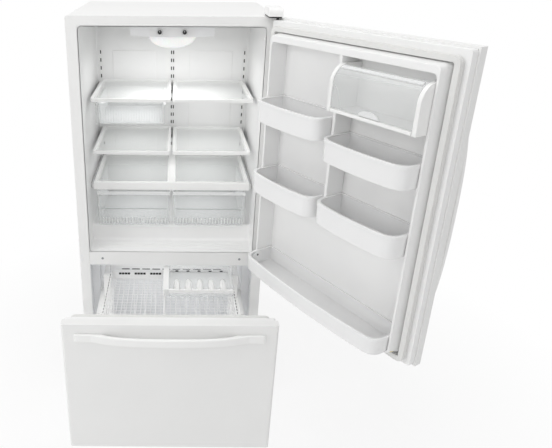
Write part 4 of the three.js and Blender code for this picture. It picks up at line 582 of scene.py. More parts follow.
# a dipped coat that rounds the wire and shines along it
coated_wire = moulded("vinyl_coated_wire", "#f4f4f4", "#eeeeee", 0.35, 1.5, 0.01, sheen=0.3)
# light enters the frosted bowl and spreads inside it
lens_white = moulded("frosted_polystyrene_lens", "#fafaf8", "#f5f5f3", 0.5, 1.4, 0.02)
lens_shader = lens_white.node_tree.nodes["Principled BSDF"]
for socket, value in (("Subsurface Weight", 0.3), ("Subsurface Scale", 0.004),
                      ("Emission Color", linear("#ffffff")), ("Emission Strength", 0.15)):
    lens_shader.inputs[socket].default_value = value
print("moulded plastics:", liner_white.name, abs_white.name, abs_grey.name)

# %% [markdown]
# **Clear polystyrene and glass.** Drawers and the dairy cover are clear polystyrene, a bit milky,
# and brighter where you look along a wall. A facing pattern raises the opacity there, which reads
# as moulded plastic and costs far less light tracing than real refraction. Shelf panes are
# tempered glass with a faint green cast.

# %% Clear plastics and glass
def clear_sheet(name, colour, roughness, face_on, edge_on, ior):
    """A see-through sheet, more opaque where it is seen along its surface."""
    material, tree, shader = new_material(name, colour, roughness, ior=ior)
    facing = add_node(tree, "ShaderNodeLayerWeight", {"Blend": 0.35})
    vary(tree, shader, facing.outputs["Facing"], "Alpha", face_on, edge_on)
    bump(tree, shader, grain(tree, 25.0), 0.06)
    return material


# drawer walls: almost clear face on, white along their edges
clear_styrene = clear_sheet("clear_moulded_polystyrene", "#f3f5f5", 0.1, 0.15, 0.8, 1.59)
# thick ribs and pulls, which light hardly passes
milky_styrene = clear_sheet("milky_moulded_polystyrene", "#f2f3f3", 0.3, 0.8, 0.97, 1.59)
# painted shade: a grey line stands for the shade of a groove in a clear wall
groove_shade_grey = clear_sheet("painted_groove_shade", "#c9cccd", 0.3, 0.7, 0.9, 1.59)
# door bins: nearly opaque milk white with a soft gloss
bin_white = clear_sheet("milk_white_bin_polystyrene", "#f5f5f5", 0.26, 0.9, 0.99, 1.59)
# smooth, hard and clear, greener where it is seen along the pane
pane_glass = clear_sheet("tempered_shelf_glass", "#f2f4f3", 0.04, 0.13, 0.5, 1.52)
print("clear materials:", clear_styrene.name, milky_styrene.name, pane_glass.name)

# %% [markdown]
# ** Zinc, board, foam and painted shade.** Zinc plated steel has large pale crystals, drawn here as cells
# 12 mm across. The rear cover is pressed fibre board: brown, matt and hairy. Foam fills the walls;
# its 2 mm cells make it look dry. A near black paint is painted shade, for a hollow that no light
# reaches.

# %% Zinc, board, foam and painted shade
zinc, tree, shader = new_material("zinc_plated_steel", "#b9bdc1", 0.36, metallic=1.0)
crystals = cells(tree, 12)
tint(tree, shader, crystals.outputs["Color"], "#aeb2b6", "#c6cace")
vary(tree, shader, crystals.outputs["Distance"], "Roughness", 0.3, 0.46)

fibre_board, tree, shader = new_material("pressed_fibre_board", "#6a6258", 0.85)
fibres = grain(tree, 2.0, detail=6.0)
tint(tree, shader, fibres, "#5b544b", "#7a7167")
bump(tree, shader, fibres, 0.1)

wall_foam, tree, shader = new_material("polyurethane_foam", "#e3d6a2", 0.95)
bump(tree, shader, cells(tree, 2).outputs["Distance"], 0.5)

# painted shade: near black stands for hollows and gaps that no light reaches
shadow_black, tree, shader = new_material("painted_shade_black", "#0d0d0e", 0.9)
tint(tree, shader, grain(tree, 0.8), "#0a0a0b", "#151516")
print("materials so far:", len(bpy.data.materials))

# %% [markdown]
# ## Cabinet
# The cabinet is a wrapper of painted sheet, 1.2 mm thick. Its solid is right as it is, so it keeps
# its shape and only gets its enamel and a small rounding. The same goes for the mullion rail
# between the compartments, the base and the machine parts, which are seen through slots at most.

# %% Give carried-over solids their materials
def coat(material, *nodes):
    """Give solids from the frame a material."""
    for name in nodes:
        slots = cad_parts[name].data.materials
        slots.clear()
        slots.append(material)


coat(enamel, "mullion_rail", "shelf_track_left", "shelf_track_center", "shelf_track_right")
coat(enamel, "slide_rail_left", "slide_rail_right", "slide_mid_left", "slide_mid_right")
coat(zinc, "base_frame", "center_hinge")
coat(black_steel, "compressor", "condenser_coil")
coat(abs_black, "condenser_fan", "front_leg_left", "front_leg_right", "rear_roller_left",
     "rear_roller_right")
coat(fin_metal, "evaporator_coil")
coat(fibre_board, "machine_cover")
coat(shaded_freezer_white, "freezer_liner")
coat(abs_white, "light_switch")

carried_over("cabinet_skin", "cabinet_wrapper", enamel, "cabinet", "white_paint", 0.5, 2)
carried_over("toe_grille_slats", "toe_grille", abs_white, "cabinet", "white_plastic", 1.2)
carried_over("cold_air_cover", "evaporator_cover", liner_white, "cabinet", "white_plastic", 0.8, 2)
carried_over("top_hinge_leaf", "top_hinge", black_steel, "cabinet", "black_steel", 0.6, 2)
carried_over("hinge_cap", "hinge_cover", abs_white, "cabinet", "white_plastic", 1.0)
print("cabinet coated")

# %% [markdown]
# **Foam.** Foam fills every wall right up to the sheets in the solids. On the real object the
# sheets' folded edges hide it, so a copy is drawn in by 5 mm all round and no yellow line shows.
# The drawer's foam also ends well behind the rounded flanks of its plug.

# %% Draw the foam cores in
FOAM_DRAWN_IN = 5
DRAWER_FOAM_BACK = -14  # how far back the drawer's foam goes
LONGEST_MOVE = 1.8  # a sharp corner moves this many times the depth at most


def drawn_in(node, depth):
    """A merged copy of a solid, its surface moved inwards."""
    mesh = softened(node)
    work = bmesh.new()
    work.from_mesh(mesh)
    bmesh.ops.triangulate(work, faces=work.faces)
    work.normal_update()
    moves = [v.normal * min(v.calc_shell_factor(), LONGEST_MOVE) * depth * MM for v in work.verts]
    for vert, move in zip(work.verts, moves):
        vert.co -= move
    work.to_mesh(mesh)
    work.free()
    return mesh


drawer_back = (PLACES["drawer"] @ Vector((0, DRAWER_FOAM_BACK * MM, 0))).y
for body in ("cabinet", "door", "drawer"):
    core = drawn_in(f"{body}_foam", FOAM_DRAWN_IN)
    if body == "drawer":
        for vert in core.vertices:
            vert.co.y = min(vert.co.y, drawer_back)
    finished(f"{body}_foam_core", core, wall_foam, body, "foam", replaces=f"{body}_foam",
             in_place=True)
print("foam cores drawn in by", FOAM_DRAWN_IN, "mm")

# %% [markdown]
# **Fridge liner.** The liner is one vacuum formed sheet, so its inner corners are round. A block
# bevel on a shell of two walls would only round it by the sheet's thickness. It is therefore
# drawn as the room's own surface, rounded by 12 mm, and given its wall by Solidify.

# %% Draw the fridge liner
FRIDGE_HALF, FRIDGE_SILL, FRIDGE_CEILING, FRIDGE_BACK = 331, 743, 1634, 476
RISER_Y, PLATEAU, LINER_FRONT = 110, 815, 1.6
LINER_SHEET = 1.9
ROOM_CORNER = 12


def open_room(outline, half, radius):
    """The inner surface of a room, drawn from its side view, open at the front."""
    mesh = prism_x(outline, -half, half)
    work = bmesh.new()
    work.from_mesh(mesh)
    front = min(v.co.y for v in work.verts)
    inside = [e for e in work.edges if max(v.co.y for v in e.verts) > front + 1e-5]
    bmesh.ops.bevel(work, geom=inside, offset=radius * MM, segments=5, profile=0.5, affect="EDGES",
                    clamp_overlap=True)
    gone = [f for f in work.faces if all(abs(v.co.y - front) < 1e-5 for v in f.verts)]
    bmesh.ops.delete(work, geom=gone, context="FACES")
    work.to_mesh(mesh)
    work.free()
    return tidy_normals(mesh, towards=(0, -1, 0))


fridge_side = [(LINER_FRONT, FRIDGE_SILL), (RISER_Y, FRIDGE_SILL), (RISER_Y, PLATEAU),
               (FRIDGE_BACK, PLATEAU), (FRIDGE_BACK, FRIDGE_CEILING), (LINER_FRONT, FRIDGE_CEILING)]
finished("fridge_liner_sheet", open_room(fridge_side, FRIDGE_HALF, ROOM_CORNER), liner_white,
         "cabinet", "white_plastic", replaces="fridge_liner", wall=LINER_SHEET)
print("fridge liner drawn")

# %% [markdown]
# The formed sheet turns outwards at the opening as a flat lip, and its walls carry small relief:
# a ledge on each side for the crisper cover, three ribs on the sill, two raised panels behind.
# These are separate thin pieces, which is simpler than cutting them into the rounded sheet.

# %% Add the liner's lip, ledges, ribs and panels
LIP_WIDTH, LIP_BACK, LIP_SILL = 12, 3.4, 742.6
room_edge = (FRIDGE_HALF, FRIDGE_SILL, FRIDGE_CEILING)
lip_edge = (FRIDGE_HALF + LIP_WIDTH, LIP_SILL, FRIDGE_CEILING + LIP_WIDTH)
lip_rings = [[(x, y, z) for x, z in rounded_ring(-half, half, low, high, ROOM_CORNER)]
             for (half, low, high), y in ((room_edge, LINER_FRONT), (lip_edge, LINER_FRONT),
                                          (lip_edge, LIP_BACK), (room_edge, LIP_BACK))]
finished("fridge_liner_lip", loft("lip", lip_rings, loop=True), liner_white, "cabinet",
         "white_plastic")

LEDGE_TOP, LEDGE_SIZE = 993.5, 19
ledges = [block(side * (FRIDGE_HALF + 0.3), side * (FRIDGE_HALF - LEDGE_SIZE), 120, 470,
                LEDGE_TOP - LEDGE_SIZE, LEDGE_TOP) for _, side in SIDES]
finished("cover_ledges", together(*ledges), liner_white, "cabinet", "white_plastic", bevel=4,
         segments=4)

SILL_RIB_HALF, SILL_RIB_PITCH, SILL_RIB_COUNT = 300, 26, 3
sill_rib = block(-SILL_RIB_HALF, SILL_RIB_HALF, -2.5, 2.5, -0.8, 1.6)
sill_ribs = in_a_row(sill_rib, SILL_RIB_COUNT, (0, SILL_RIB_PITCH, FRIDGE_SILL),
                     (0, SILL_RIB_PITCH, 0), liner_white)
finished("sill_ribs", sill_ribs, liner_white, "cabinet", "white_plastic", bevel=1.0, segments=2)

PANEL_INNER, PANEL_OUTER, PANEL_BOTTOM, PANEL_TOP = 74, 262, 1020, 1478
panel_plates = [block(*span(side, PANEL_INNER, PANEL_OUTER), FRIDGE_BACK - 2.4, FRIDGE_BACK + 0.3,
                      PANEL_BOTTOM, PANEL_TOP) for _, side in SIDES]
finished("rear_wall_panels", together(*panel_plates), liner_white, "cabinet", "white_plastic",
         bevel=1.6)
print("sill ribs:", SILL_RIB_COUNT)

# %% [markdown]
# **Shelf tracks.** Each steel track has a column of slots for the shelf hooks, and the slots look
# black because nothing lights the hollow behind them. A strip of dark plates behind the slots,
# one for each slot, gives that hollow. A row of copies is what the `row` tree is for.

# %% Darken the track slots
TRACK_FRONT, SLOT_PITCH, SLOT_LOWEST, SLOT_COUNT = 472.7, 34.5, 1050.5, 13
SLOT_COLUMNS = {"left": (-314,), "center": (-4.5, 4.5), "right": (314,)}
slot_back = block(-2.2, 2.2, -0.25, 0.6, -0.8, 14.2)
for track, column_xs in SLOT_COLUMNS.items():
    strips = [in_a_row(slot_back, SLOT_COUNT, (x, TRACK_FRONT, SLOT_LOWEST), (0, 0, SLOT_PITCH),
                       shadow_black) for x in column_xs]
    finished(f"track_slots_{track}", together(*strips), shadow_black, "cabinet", "white_paint")
print("slots:", SLOT_COUNT * sum(len(xs) for xs in SLOT_COLUMNS.values()))

# %% [markdown]
# **Cold air slots.** The evaporator cover has two rows of slots, and the coil chamber behind them
# is dark. A dark sheet a few millimetres behind the cover stands for that unlit chamber.

# %% Darken the freezer's air slots
CHAMBER_HALF, CHAMBER_FRONT, CHAMBER_LOW, CHAMBER_HIGH = 285, 396.5, 406, 446
chamber_sheet = block(-CHAMBER_HALF, CHAMBER_HALF, CHAMBER_FRONT, CHAMBER_FRONT + 1.5, CHAMBER_LOW,
                      CHAMBER_HIGH)
finished("chamber_shadow", chamber_sheet, shadow_black, "cabinet", "white_plastic", bevel=0.3,
         segments=1)
print("air slots backed")

# %% [markdown]
# ## Screws and plugs
# Screws hold the mullion, the back and the covers. One Phillips pan head is lofted from rings and
# given a raised cross, then the `copies` tree sets it at every hole. Small caps close the spare
# hinge holes, because the door can be hung on either side.

# %% Set the screws
HEAD_PROFILE = ((1.0, 0.0), (1.0, 0.35), (0.86, 0.75), (0.55, 0.95), (0.2, 1.0))  # shares
CROSS_REACH, CROSS_HALF = 0.55, 0.45  # the first is a share of the head's radius
SHEET_BACK = 609  # where screw heads sit on the cabinet's back


def pan_head(radius, height, facing):
    """A screw head standing on the origin, facing along an axis."""
    head = loft("pan_head", [[(a, b, height * rise) for a, b in
                              arc((0, 0), (radius * share, radius * share), 20)]
                             for share, rise in HEAD_PROFILE])
    reach = radius * CROSS_REACH
    both = together(
        head, block(-reach, reach, -CROSS_HALF, CROSS_HALF, height * 0.93, height * 1.03),
        block(-CROSS_HALF, CROSS_HALF, -reach, reach, height * 0.94, height * 1.04))
    both.transform(Vector((0, 0, 1)).rotation_difference(Vector(facing)).to_matrix().to_4x4())
    return both


def screws(name, points, facing, radius=4.0, height=0.9):
    """Screws at points on the cabinet."""
    skeleton = bpy.data.meshes.new("holes")
    skeleton.from_pydata([Vector(p) * MM for p in points], [], [])
    heads = grown(copies, skeleton, shape=pan_head(radius, height, facing), Material=screw_steel)
    finished(name, heads, screw_steel, "cabinet", "zinc", sharp=30)


screws("mullion_screws", [(side * 281, 0, 712) for _, side in SIDES], (0, -1, 0), radius=5,
       height=2)
edge_heights = [380 + 150 * k for k in range(9)]
screws("back_screws", [(side * 362, SHEET_BACK, z) for _, side in SIDES for z in edge_heights]
       + [(x, SHEET_BACK, 1655) for x in range(-270, 271, 135)], (0, 1, 0))
screws("machine_cover_screws", [(x, SHEET_BACK - 0.5, z) for x in (-340, 340)
                                for z in (82, 200, 322)]
       + [(x, SHEET_BACK - 0.5, 322) for x in (-170, 0, 170)], (0, 1, 0))

PLUG_X, PLUG_RADIUS = -366, 5
plugs = [loft("plug", [[(x, y, z) for x, z in
                        arc((PLUG_X, height), (PLUG_RADIUS * share, PLUG_RADIUS * share), 20)]
                       for share, y in ((1, 0), (1, -1.2), (0.7, -1.9))])
         for height in (724, 706)]
finished("hinge_hole_plugs", together(*plugs), abs_grey, "cabinet", "grey_plastic", sharp=50)
print("screws set")

# %% [markdown]
# ## Controls and lamp
# A grey moulded console hangs under the ceiling with two black knobs and a pale dial field. The
# field has only plain tick marks. A knob is a lofted cap whose rim is fluted for grip.

# %% Draw the console, its ticks and its knobs
KNOBS = {"fridge_knob": -46, "freezer_knob": 46}
KNOB_Z, CONSOLE_FRONT = 1602, 112
KNOB_PROFILE = ((8.0, 0.0, 111.6), (8.0, 0.5, 110.6), (7.6, 0.5, 102.5), (7.0, 0.3, 101.0),
                (5.6, 0.0, 100.7))  # radius, depth of the flutes, y
TICKS, FIRST_TICK, TICK_STEP = 11, -130, 26

carried_over("console_body", "control_console", abs_grey, "cabinet", "grey_plastic", 2.0)
finished("dial_field", upright_plate(-84, 84, 1588, 1617, 6, CONSOLE_FRONT + 0.5,
                                     CONSOLE_FRONT - 0.5),
         dial_grey, "cabinet", "grey_plastic", bevel=0.3, segments=2)
ticks = []
for x in KNOBS.values():
    for step in range(TICKS):
        turn = math.radians(FIRST_TICK + TICK_STEP * step)
        ray = Vector((math.sin(turn), 0, math.cos(turn)))
        middle = Vector((x, CONSOLE_FRONT - 0.6, KNOB_Z))
        ticks.append([middle + ray * 10.5, middle + ray * 13])
finished("dial_ticks", wire(ticks, 0.35, 6, abs_black), abs_black, "cabinet", "black_plastic")


def fluted_circle(radius, depth, flute_count=20, points=120):
    """A circle whose edge swells and dips for grip."""
    edge = [(radius - depth * (0.5 + 0.5 * math.cos(flute_count * t)), t)
            for t in (math.tau * k / points for k in range(points))]
    return [(reach * math.cos(t), reach * math.sin(t)) for reach, t in edge]


for name, x in KNOBS.items():
    cap = loft(name, [[(x + a, y, KNOB_Z + b) for a, b in fluted_circle(r, d)]
                      for r, d, y in KNOB_PROFILE])
    finished(f"{name}_cap", cap, abs_black, name, "black_plastic", replaces=name)
    mark = block(x - 0.7, x + 0.7, 99.9, 101.2, KNOB_Z + 1.5, KNOB_Z + 6.5)
    finished(f"{name}_mark", mark, abs_white, name, "black_plastic", bevel=0.3, segments=2)
print("knobs drawn")

# %% [markdown]
# **Lamp lens.** Below the console hangs the lamp's lens, a frosted half bowl. It is lofted from
# half ovals along its depth, a little smaller at both ends. Fine upright ribs on its front spread
# the light, and each follows the bowl's edge at its own place.

# %% Draw the lamp lens
LENS_TOP, LENS_HALF, LENS_DROP = 1582.7, 88, 45
LENS_STATIONS = ((150.0, 0.9), (150.8, 0.96), (154, 1.0), (286, 1.0), (289.2, 0.96), (290.0, 0.9))
LENS_RIB_PITCH, LENS_RIB_Y = 9.5, 149.8
lens_rings = [[(x, y, z) for x, z in arc((0, LENS_TOP), (LENS_HALF * (0.3 + 0.7 * share),
                                                         -LENS_DROP * share), 32, 0, 180)]
              for y, share in LENS_STATIONS]
finished("lamp_lens", loft("lens", lens_rings), lens_white, "cabinet", "white_plastic",
         replaces="light_lens", sharp=40)
lens_ribs = []
for x in (k * LENS_RIB_PITCH for k in range(-8, 9)):
    depth = LENS_DROP * math.sqrt(1 - (x / LENS_HALF) ** 2) - 1.2
    lens_ribs.append([(x, LENS_RIB_Y, LENS_TOP - 2), (x, LENS_RIB_Y, LENS_TOP - depth)])
finished("lens_ribs", wire(lens_ribs, 0.9, 8, lens_white), lens_white, "cabinet", "white_plastic")
print("lens ribs:", len(lens_ribs))

# %% [markdown]
# ## Shelves
# A half shelf is a tempered pane in a moulded frame, carried by two steel brackets that hook into
# the tracks. The frame is a ring lofted round the pane, so its inner lip and its rounded front
# come in one go. Pane and brackets are pieces of their own, because they are other materials.

# %% Draw the half shelves
SHELF_INNER, SHELF_OUTER, SHELF_FRONT, SHELF_BACK = 4, 314, 100, 458
SHELF_TOPS = {"upper": 1354, "lower": 1142}
SHELF_THICK, BORDER, PANE_INSET = 14, 17, 11.5
BRACKET_XS, BRACKET_SHEET = (5, 313.4), 3


def framed_pane(x0, x1, y0, y1, bottom, top, border):
    """A moulded frame round a pane: closed rings round the opening, in section order."""
    section = ((0, bottom + 1.5), (0, top), (border * 0.65, top), (border * 0.65, top - 1),
               (border, top - 5), (border, bottom), (border * 0.5, bottom))
    rings = [[(a, b, z) for a, b in rounded_ring(x0 + inset, x1 - inset, y0 + inset, y1 - inset,
                                                 max(10 - inset * 0.5, 2.0))]
             for inset, z in section]
    return loft("frame", rings, loop=True)


def pane(x0, x1, y0, y1, z0, z1):
    """A glass pane with ground corners."""
    ring = rounded_ring(x0, x1, y0, y1, 3, corner=3)
    return loft("pane", [[(*p, z) for p in ring] for z in (z0, z1)])


for level, top in SHELF_TOPS.items():
    bottom = top - SHELF_THICK
    bracket_outline = [(130, bottom + 1), (136, bottom - 6), (300, bottom - 24),
                       (472, bottom - 44), (472, bottom + 1)]
    for side_name, side in SIDES:
        node = f"shelf_{level}_{side_name}"
        x0, x1 = span(side, SHELF_INNER, SHELF_OUTER)
        finished(f"{node}_frame",
                 framed_pane(x0, x1, SHELF_FRONT, SHELF_BACK, bottom, top, BORDER), abs_white,
                 "cabinet", "white_plastic", replaces=node, bevel=1.0, segments=2)
        finished(f"{node}_pane",
                 pane(x0 + PANE_INSET, x1 - PANE_INSET, SHELF_FRONT + PANE_INSET,
                      SHELF_BACK - PANE_INSET, top - 5, top - 1.2),
                 pane_glass, "cabinet", "white_plastic", bevel=0.5, segments=2)
        # the brackets are real steel; the outer one stands just outside the frame and its grey is
        # painted shade for the dark line beside the shelf
        arms = [prism_x(bracket_outline, *span(side, near, near + BRACKET_SHEET))
                for near in BRACKET_XS]
        finished(f"{node}_brackets", together(*arms), gap_shade_enamel, "cabinet", "white_plastic",
                 bevel=0.5, segments=2)
print("half shelves:", len(SHELF_TOPS) * 2)

# %% [markdown]
# **Deli drawer.** A clear drawer hangs on two runners under the upper left shelf. Its wall is a
# ring lofted up the outside and down the inside, so it has real thickness and a folded rim. Soft
# vertical flutes on its front catch the light, as they do on a pressed glass.

# %% Draw the deli drawer
DELI_LEFT, DELI_RIGHT, DELI_FRONT, DELI_BACK, DELI_FOOT, DELI_RIM = -290, -32, 104, 396, 1253, 1336
RUNNER_FOOT, RUNNER_TOP = 1322, 1340.5


def tub(x0, x1, y0, y1, z0, z1, draft, wall=2.5, radius=14, rim=9):
    """An open tub with sloping walls and a rim that turns out."""
    levels = ((draft + 3, z0), (draft + 0.6, z0 + 3), (1.6, z1 - rim), (0, z1 - rim + 1.5),
              (0, z1), (wall, z1), (wall, z1 - rim + 3), (wall + 1.6, z1 - rim),
              (draft + wall + 0.6, z0 + 5), (draft + wall + 3, z0 + wall))
    return loft("tub", [
        [(a, b, z) for a, b in rounded_ring(x0 + inset, x1 - inset, y0 + inset, y1 - inset, radius)]
        for inset, z in levels])


def flutes(x0, x1, y, z0, z1, count, radius):
    """Upright half-round flutes on a front."""
    step = (x1 - x0) / (count - 1)
    paths = [[(x0 + step * k, y, z) for z in (z0, z1)] for k in range(count)]
    return wire(paths, radius, 10, clear_styrene)


def deli_piece(name, mesh, **settings):
    """A clear piece that slides with the deli drawer."""
    finished(name, mesh, clear_styrene, "deli_drawer", "clear_plastic", **settings)


deli_piece("deli_tub", tub(DELI_LEFT, DELI_RIGHT, DELI_FRONT, DELI_BACK, DELI_FOOT, DELI_RIM, 5),
           replaces="deli_drawer")
deli_piece("deli_front_panel",
           upright_plate(DELI_LEFT - 6, DELI_RIGHT + 6, DELI_FOOT + 1, DELI_RIM, 8, 100.2, 103.8),
           bevel=1.2)
deli_piece("deli_flutes", flutes(DELI_LEFT + 4, DELI_RIGHT - 4, 100.9, 1262, 1316, 26, 1.6))
deli_edges = [block(x, x + 8, DELI_FRONT, DELI_BACK, RUNNER_FOOT + 2.9, RUNNER_FOOT + 5.7)
              for x in (DELI_LEFT - 7, DELI_RIGHT - 1)]
deli_piece("deli_drawer_flanges", together(*deli_edges), bevel=0.8, segments=2)
runners = [block(x0, x1, 125, 400, RUNNER_FOOT, top) for x0, x1, top in (
    (-301, -298.5, RUNNER_TOP), (-301, -292, RUNNER_FOOT + 2.5),
    (-23.5, -21, RUNNER_TOP), (-30, -21, RUNNER_FOOT + 2.5))]
finished("deli_runners", together(*runners), abs_white, "cabinet", "white_plastic", bevel=0.6,
         segments=2)
print("deli drawer drawn")

# %% [markdown]
# ** Crispers.** Two deep clear drawers stand on the raised floor. Each has a bright pull along its
# top edge, a grey line of painted shade across its front and a band of short ribs near its bottom.
# They use the same tub and flutes as the deli drawer.

# %% Draw the crispers
CRISPER_INNER, CRISPER_OUTER, CRISPER_FRONT, CRISPER_BACK = 4, 306, 101, 440
CRISPER_FOOT, CRISPER_TOP = 815.3, 962
PLATE_FACE = 97.4  # y of the front plate's outer face
PULL_OUTLINE = [(90.4, 958), (90.4, 970), (98, 970), (98, 967.6), (92.6, 966.6), (92.6, 958)]
RIBS_LOW, RIBS_HIGH, RIB_COUNT, BEAD_Z = 829, 850, 22, 893
for side_name, side in SIDES:
    node = f"crisper_{side_name}"
    x0, x1 = span(side, CRISPER_INNER, CRISPER_OUTER)
    # painted shade: a grey bead across the front stands for the shade of a groove
    bead = wire([[(x0 + 14, PLATE_FACE - 0.1, BEAD_Z), (x1 - 14, PLATE_FACE - 0.1, BEAD_Z)]], 1.8,
                10, groove_shade_grey)
    for part, mesh, material, settings in (
            ("tub", tub(x0, x1, CRISPER_FRONT, CRISPER_BACK, CRISPER_FOOT, CRISPER_TOP, 3,
                        radius=16), clear_styrene, {"replaces": node}),
            ("front", upright_plate(x0 + 2, x1 - 2, 818, CRISPER_TOP, 9, PLATE_FACE,
                                    PLATE_FACE + 2.8), clear_styrene, {"bevel": 0.9}),
            ("pull", prism_x(PULL_OUTLINE, x0 + 3, x1 - 3), milky_styrene, {"bevel": 0.9}),
            ("ribs", flutes(x0 + 22, x1 - 22, PLATE_FACE, RIBS_LOW, RIBS_HIGH, RIB_COUNT, 2.3),
             milky_styrene, {}),
            ("bead", bead, groove_shade_grey, {})):
        finished(f"{node}_{part}", mesh, material, node, "clear_plastic", **settings)
print("crispers drawn")

# %% [markdown]
# ** Crisper cover.** A moulded frame with two glass panes covers the crispers. A deep rail runs
# along its front and a broad bar down its middle. On each side a grey strip, over the liner's
# ledges, is painted shade for the gap between the cover and the wall.

# %% Draw the crisper cover
COVER_BOTTOM, COVER_FACE_TOP, COVER_BACK = 994, 1008, 462
RAIL_OUTLINE = [(100, 976), (100, 1008.6), (117, 1008.6), (117, 995), (111, 992), (111, 976)]


def cover_piece(name, mesh, material=abs_white, **settings):
    """A piece of the cover."""
    finished(name, mesh, material, "cabinet", "white_plastic", **settings)


cover_frames = [framed_pane(*span(side, 1, 317), 101.2, COVER_BACK, COVER_BOTTOM, COVER_FACE_TOP,
                            BORDER) for _, side in SIDES]
cover_piece("crisper_cover_frame", together(*cover_frames), replaces="crisper_cover", bevel=1.2)
cover_piece("crisper_cover_rail", prism_x(RAIL_OUTLINE, -318, 318), bevel=2.2)
for side_name, side in SIDES:
    cover_pane = pane(*span(side, 12.5, 306.5), 112, COVER_BACK - 12, COVER_FACE_TOP - 5,
                      COVER_FACE_TOP - 1.2)
    cover_piece(f"crisper_cover_pane_{side_name}", cover_pane, pane_glass, bevel=0.5, segments=2)
cover_piece("crisper_cover_middle_bar", block(-15, 15, 105, COVER_BACK - 3, 999, 1008.4), bevel=1.5)
# painted shade: grey strips along the cover's sides stand for the gap beside it
cover_gap_shades = [block(*span(side, 317.2, 319.2), 104, COVER_BACK - 2, 998, 1007.4)
               for _, side in SIDES]
cover_piece("crisper_cover_edges", together(*cover_gap_shades), gap_shade_enamel, bevel=0.4, segments=2)
print("crisper cover drawn")

# %% [markdown]
# ## Door
# The outer door is a pan of painted steel with its upright edges rolled to 10 mm. As with the
# liner, the pan is drawn as a rounded surface and thickened inwards. The same function makes the
# drawer's front.

# %% Draw the steel fronts
FRONT_HALF, FRONT_FACE, PAN_BACK = 376, -75, -42
ROLL, EDGE_RADIUS = 10, 4
HEM = 9  # width of the sheet's inward fold behind
STEEL_SHEET = 1.2
DOOR_LOW, DOOR_HIGH, DRAWER_LOW, DRAWER_HIGH = 713, 1669, 144, 697
SHORT_EDGE = 0.3  # in metres; the pan's long edges are longer


def steel_pan(z0, z1):
    """A front panel: upright edges rolled, top and bottom edges folded."""
    mesh = block(-FRONT_HALF, FRONT_HALF, FRONT_FACE, PAN_BACK, z0, z1)
    work = bmesh.new()
    work.from_mesh(mesh)
    for upright, radius in ((True, ROLL), (False, EDGE_RADIUS)):
        chosen = [e for e in work.edges if e.is_valid
                  and all(abs(v.co.y - FRONT_FACE * MM) < 1e-6 for v in e.verts)
                  and (abs(e.verts[0].co.z - e.verts[1].co.z) > 0.1) == upright
                  and e.calc_length() > SHORT_EDGE]
        bmesh.ops.bevel(work, geom=chosen, offset=radius * MM, segments=6, profile=0.5,
                        affect="EDGES", clamp_overlap=True)
    gone = [f for f in work.faces if all(abs(v.co.y - PAN_BACK * MM) < 1e-6 for v in f.verts)]
    bmesh.ops.inset_region(work, faces=gone, thickness=HEM * MM)
    bmesh.ops.delete(work, geom=gone, context="FACES")
    work.to_mesh(mesh)
    work.free()
    return tidy_normals(mesh, towards=(0, -1, 0))


for body, low, high in (("door", DOOR_LOW, DOOR_HIGH), ("drawer", DRAWER_LOW, DRAWER_HIGH)):
    finished(f"{body}_skin", steel_pan(low, high), enamel, body, "white_paint",
             replaces=f"{body}_panel", wall=STEEL_SHEET)
print("steel fronts drawn")

# %% [markdown]
# **Door liner.** Behind the steel sits a vacuum formed liner. From its flat rim rises the dike,
# the border that enters the compartment, and inside the dike lies the deep recess for the bins.
# All of that is one loft of rounded rectangles, from the rim's edge to the recess's back. A
# divider between the bins is lofted the same way and moved a little towards the hinge.

# %% Draw the door liner
SEAM_Y, RIM_BACK = -41.7, -20  # where the liner meets the steel, and its flat rim
RIM_HALF = 371
DIVIDER_X = 4


def upright_ring(half, low, high, y, radius, side=1, bow=None):
    """A rounded rectangle facing the cabinet; bow gives y from x where the ring is curved."""
    return [(x, y if bow is None else bow(x), z)
            for x, z in rounded_ring(-half, half, low, high, radius, corner=6, side=side)]


door_rings = [upright_ring(*ring) for ring in (
    (RIM_HALF, 718, 1664, SEAM_Y, 8), (RIM_HALF, 718, 1664, RIM_BACK, 8),
    (338, 743, 1628, RIM_BACK, 16), (328, 746, 1626, 0, 16), (325, 748, 1622, 25, 16),
    (318, 752, 1600, 25, 14), (318, 752, 1600, -45, 14))]
finished("door_liner_sheet", loft("door_liner", door_rings, cap_start=False, towards=(0, 1, 0)),
         liner_white, "door", "white_plastic", replaces="door_liner", bevel=2.6, wall=LINER_SHEET)
divider_rings = [upright_ring(*ring) for ring in (
    (7, 1075, 1601, -44.9, 4), (7, 1075, 1601, 20, 4), (5, 1078, 1601, 25, 3))]
divider = [[(x + DIVIDER_X, y, z) for x, y, z in ring] for ring in divider_rings]
finished("door_divider", loft("divider", divider), liner_white, "door", "white_plastic", bevel=1.5)
print("door liner drawn")

# %% [markdown]
# **Gaskets.** A gasket is an extruded vinyl frame: a foot in the liner's groove, a folded bellows
# and a flat magnetic face. Its section is carried round a rounded rectangle, which is a loft that
# closes on itself.

# %% Draw the gaskets
GASKET_SECTION = ((2, -19.7), (16, -19.7), (17, -15), (13.5, -12), (13.5, -10.5), (17.2, -7.5),
                  (18, -4), (17, -0.9), (1, -0.9), (0, -4), (0.8, -7.5), (4.5, -10.5), (4.5, -12),
                  (1, -15))  # outwards from the frame's inner edge, and y
GASKET_HALF, GASKET_CORNER = 339.5, 6

for body, low, high in (("door", 741.5, 1629.5), ("drawer", 176, 673)):
    rings = [upright_ring(GASKET_HALF + out, low - out, high + out, y, GASKET_CORNER + out)
             for out, y in GASKET_SECTION]
    finished(f"{body}_gasket_bellows", loft("gasket", rings, loop=True), vinyl, body,
             "white_rubber", replaces=f"{body}_gasket", bevel=0.5, segments=2)
print("gaskets drawn")

# %% [markdown]
# **Handles.** Each handle is a bar that stands on flat pads and bows away from the face in one
# long curve. It is lofted along its length: at every station a rounded section reaches from the
# inner curve to the outer one. The two curves are cubic, each through four points.

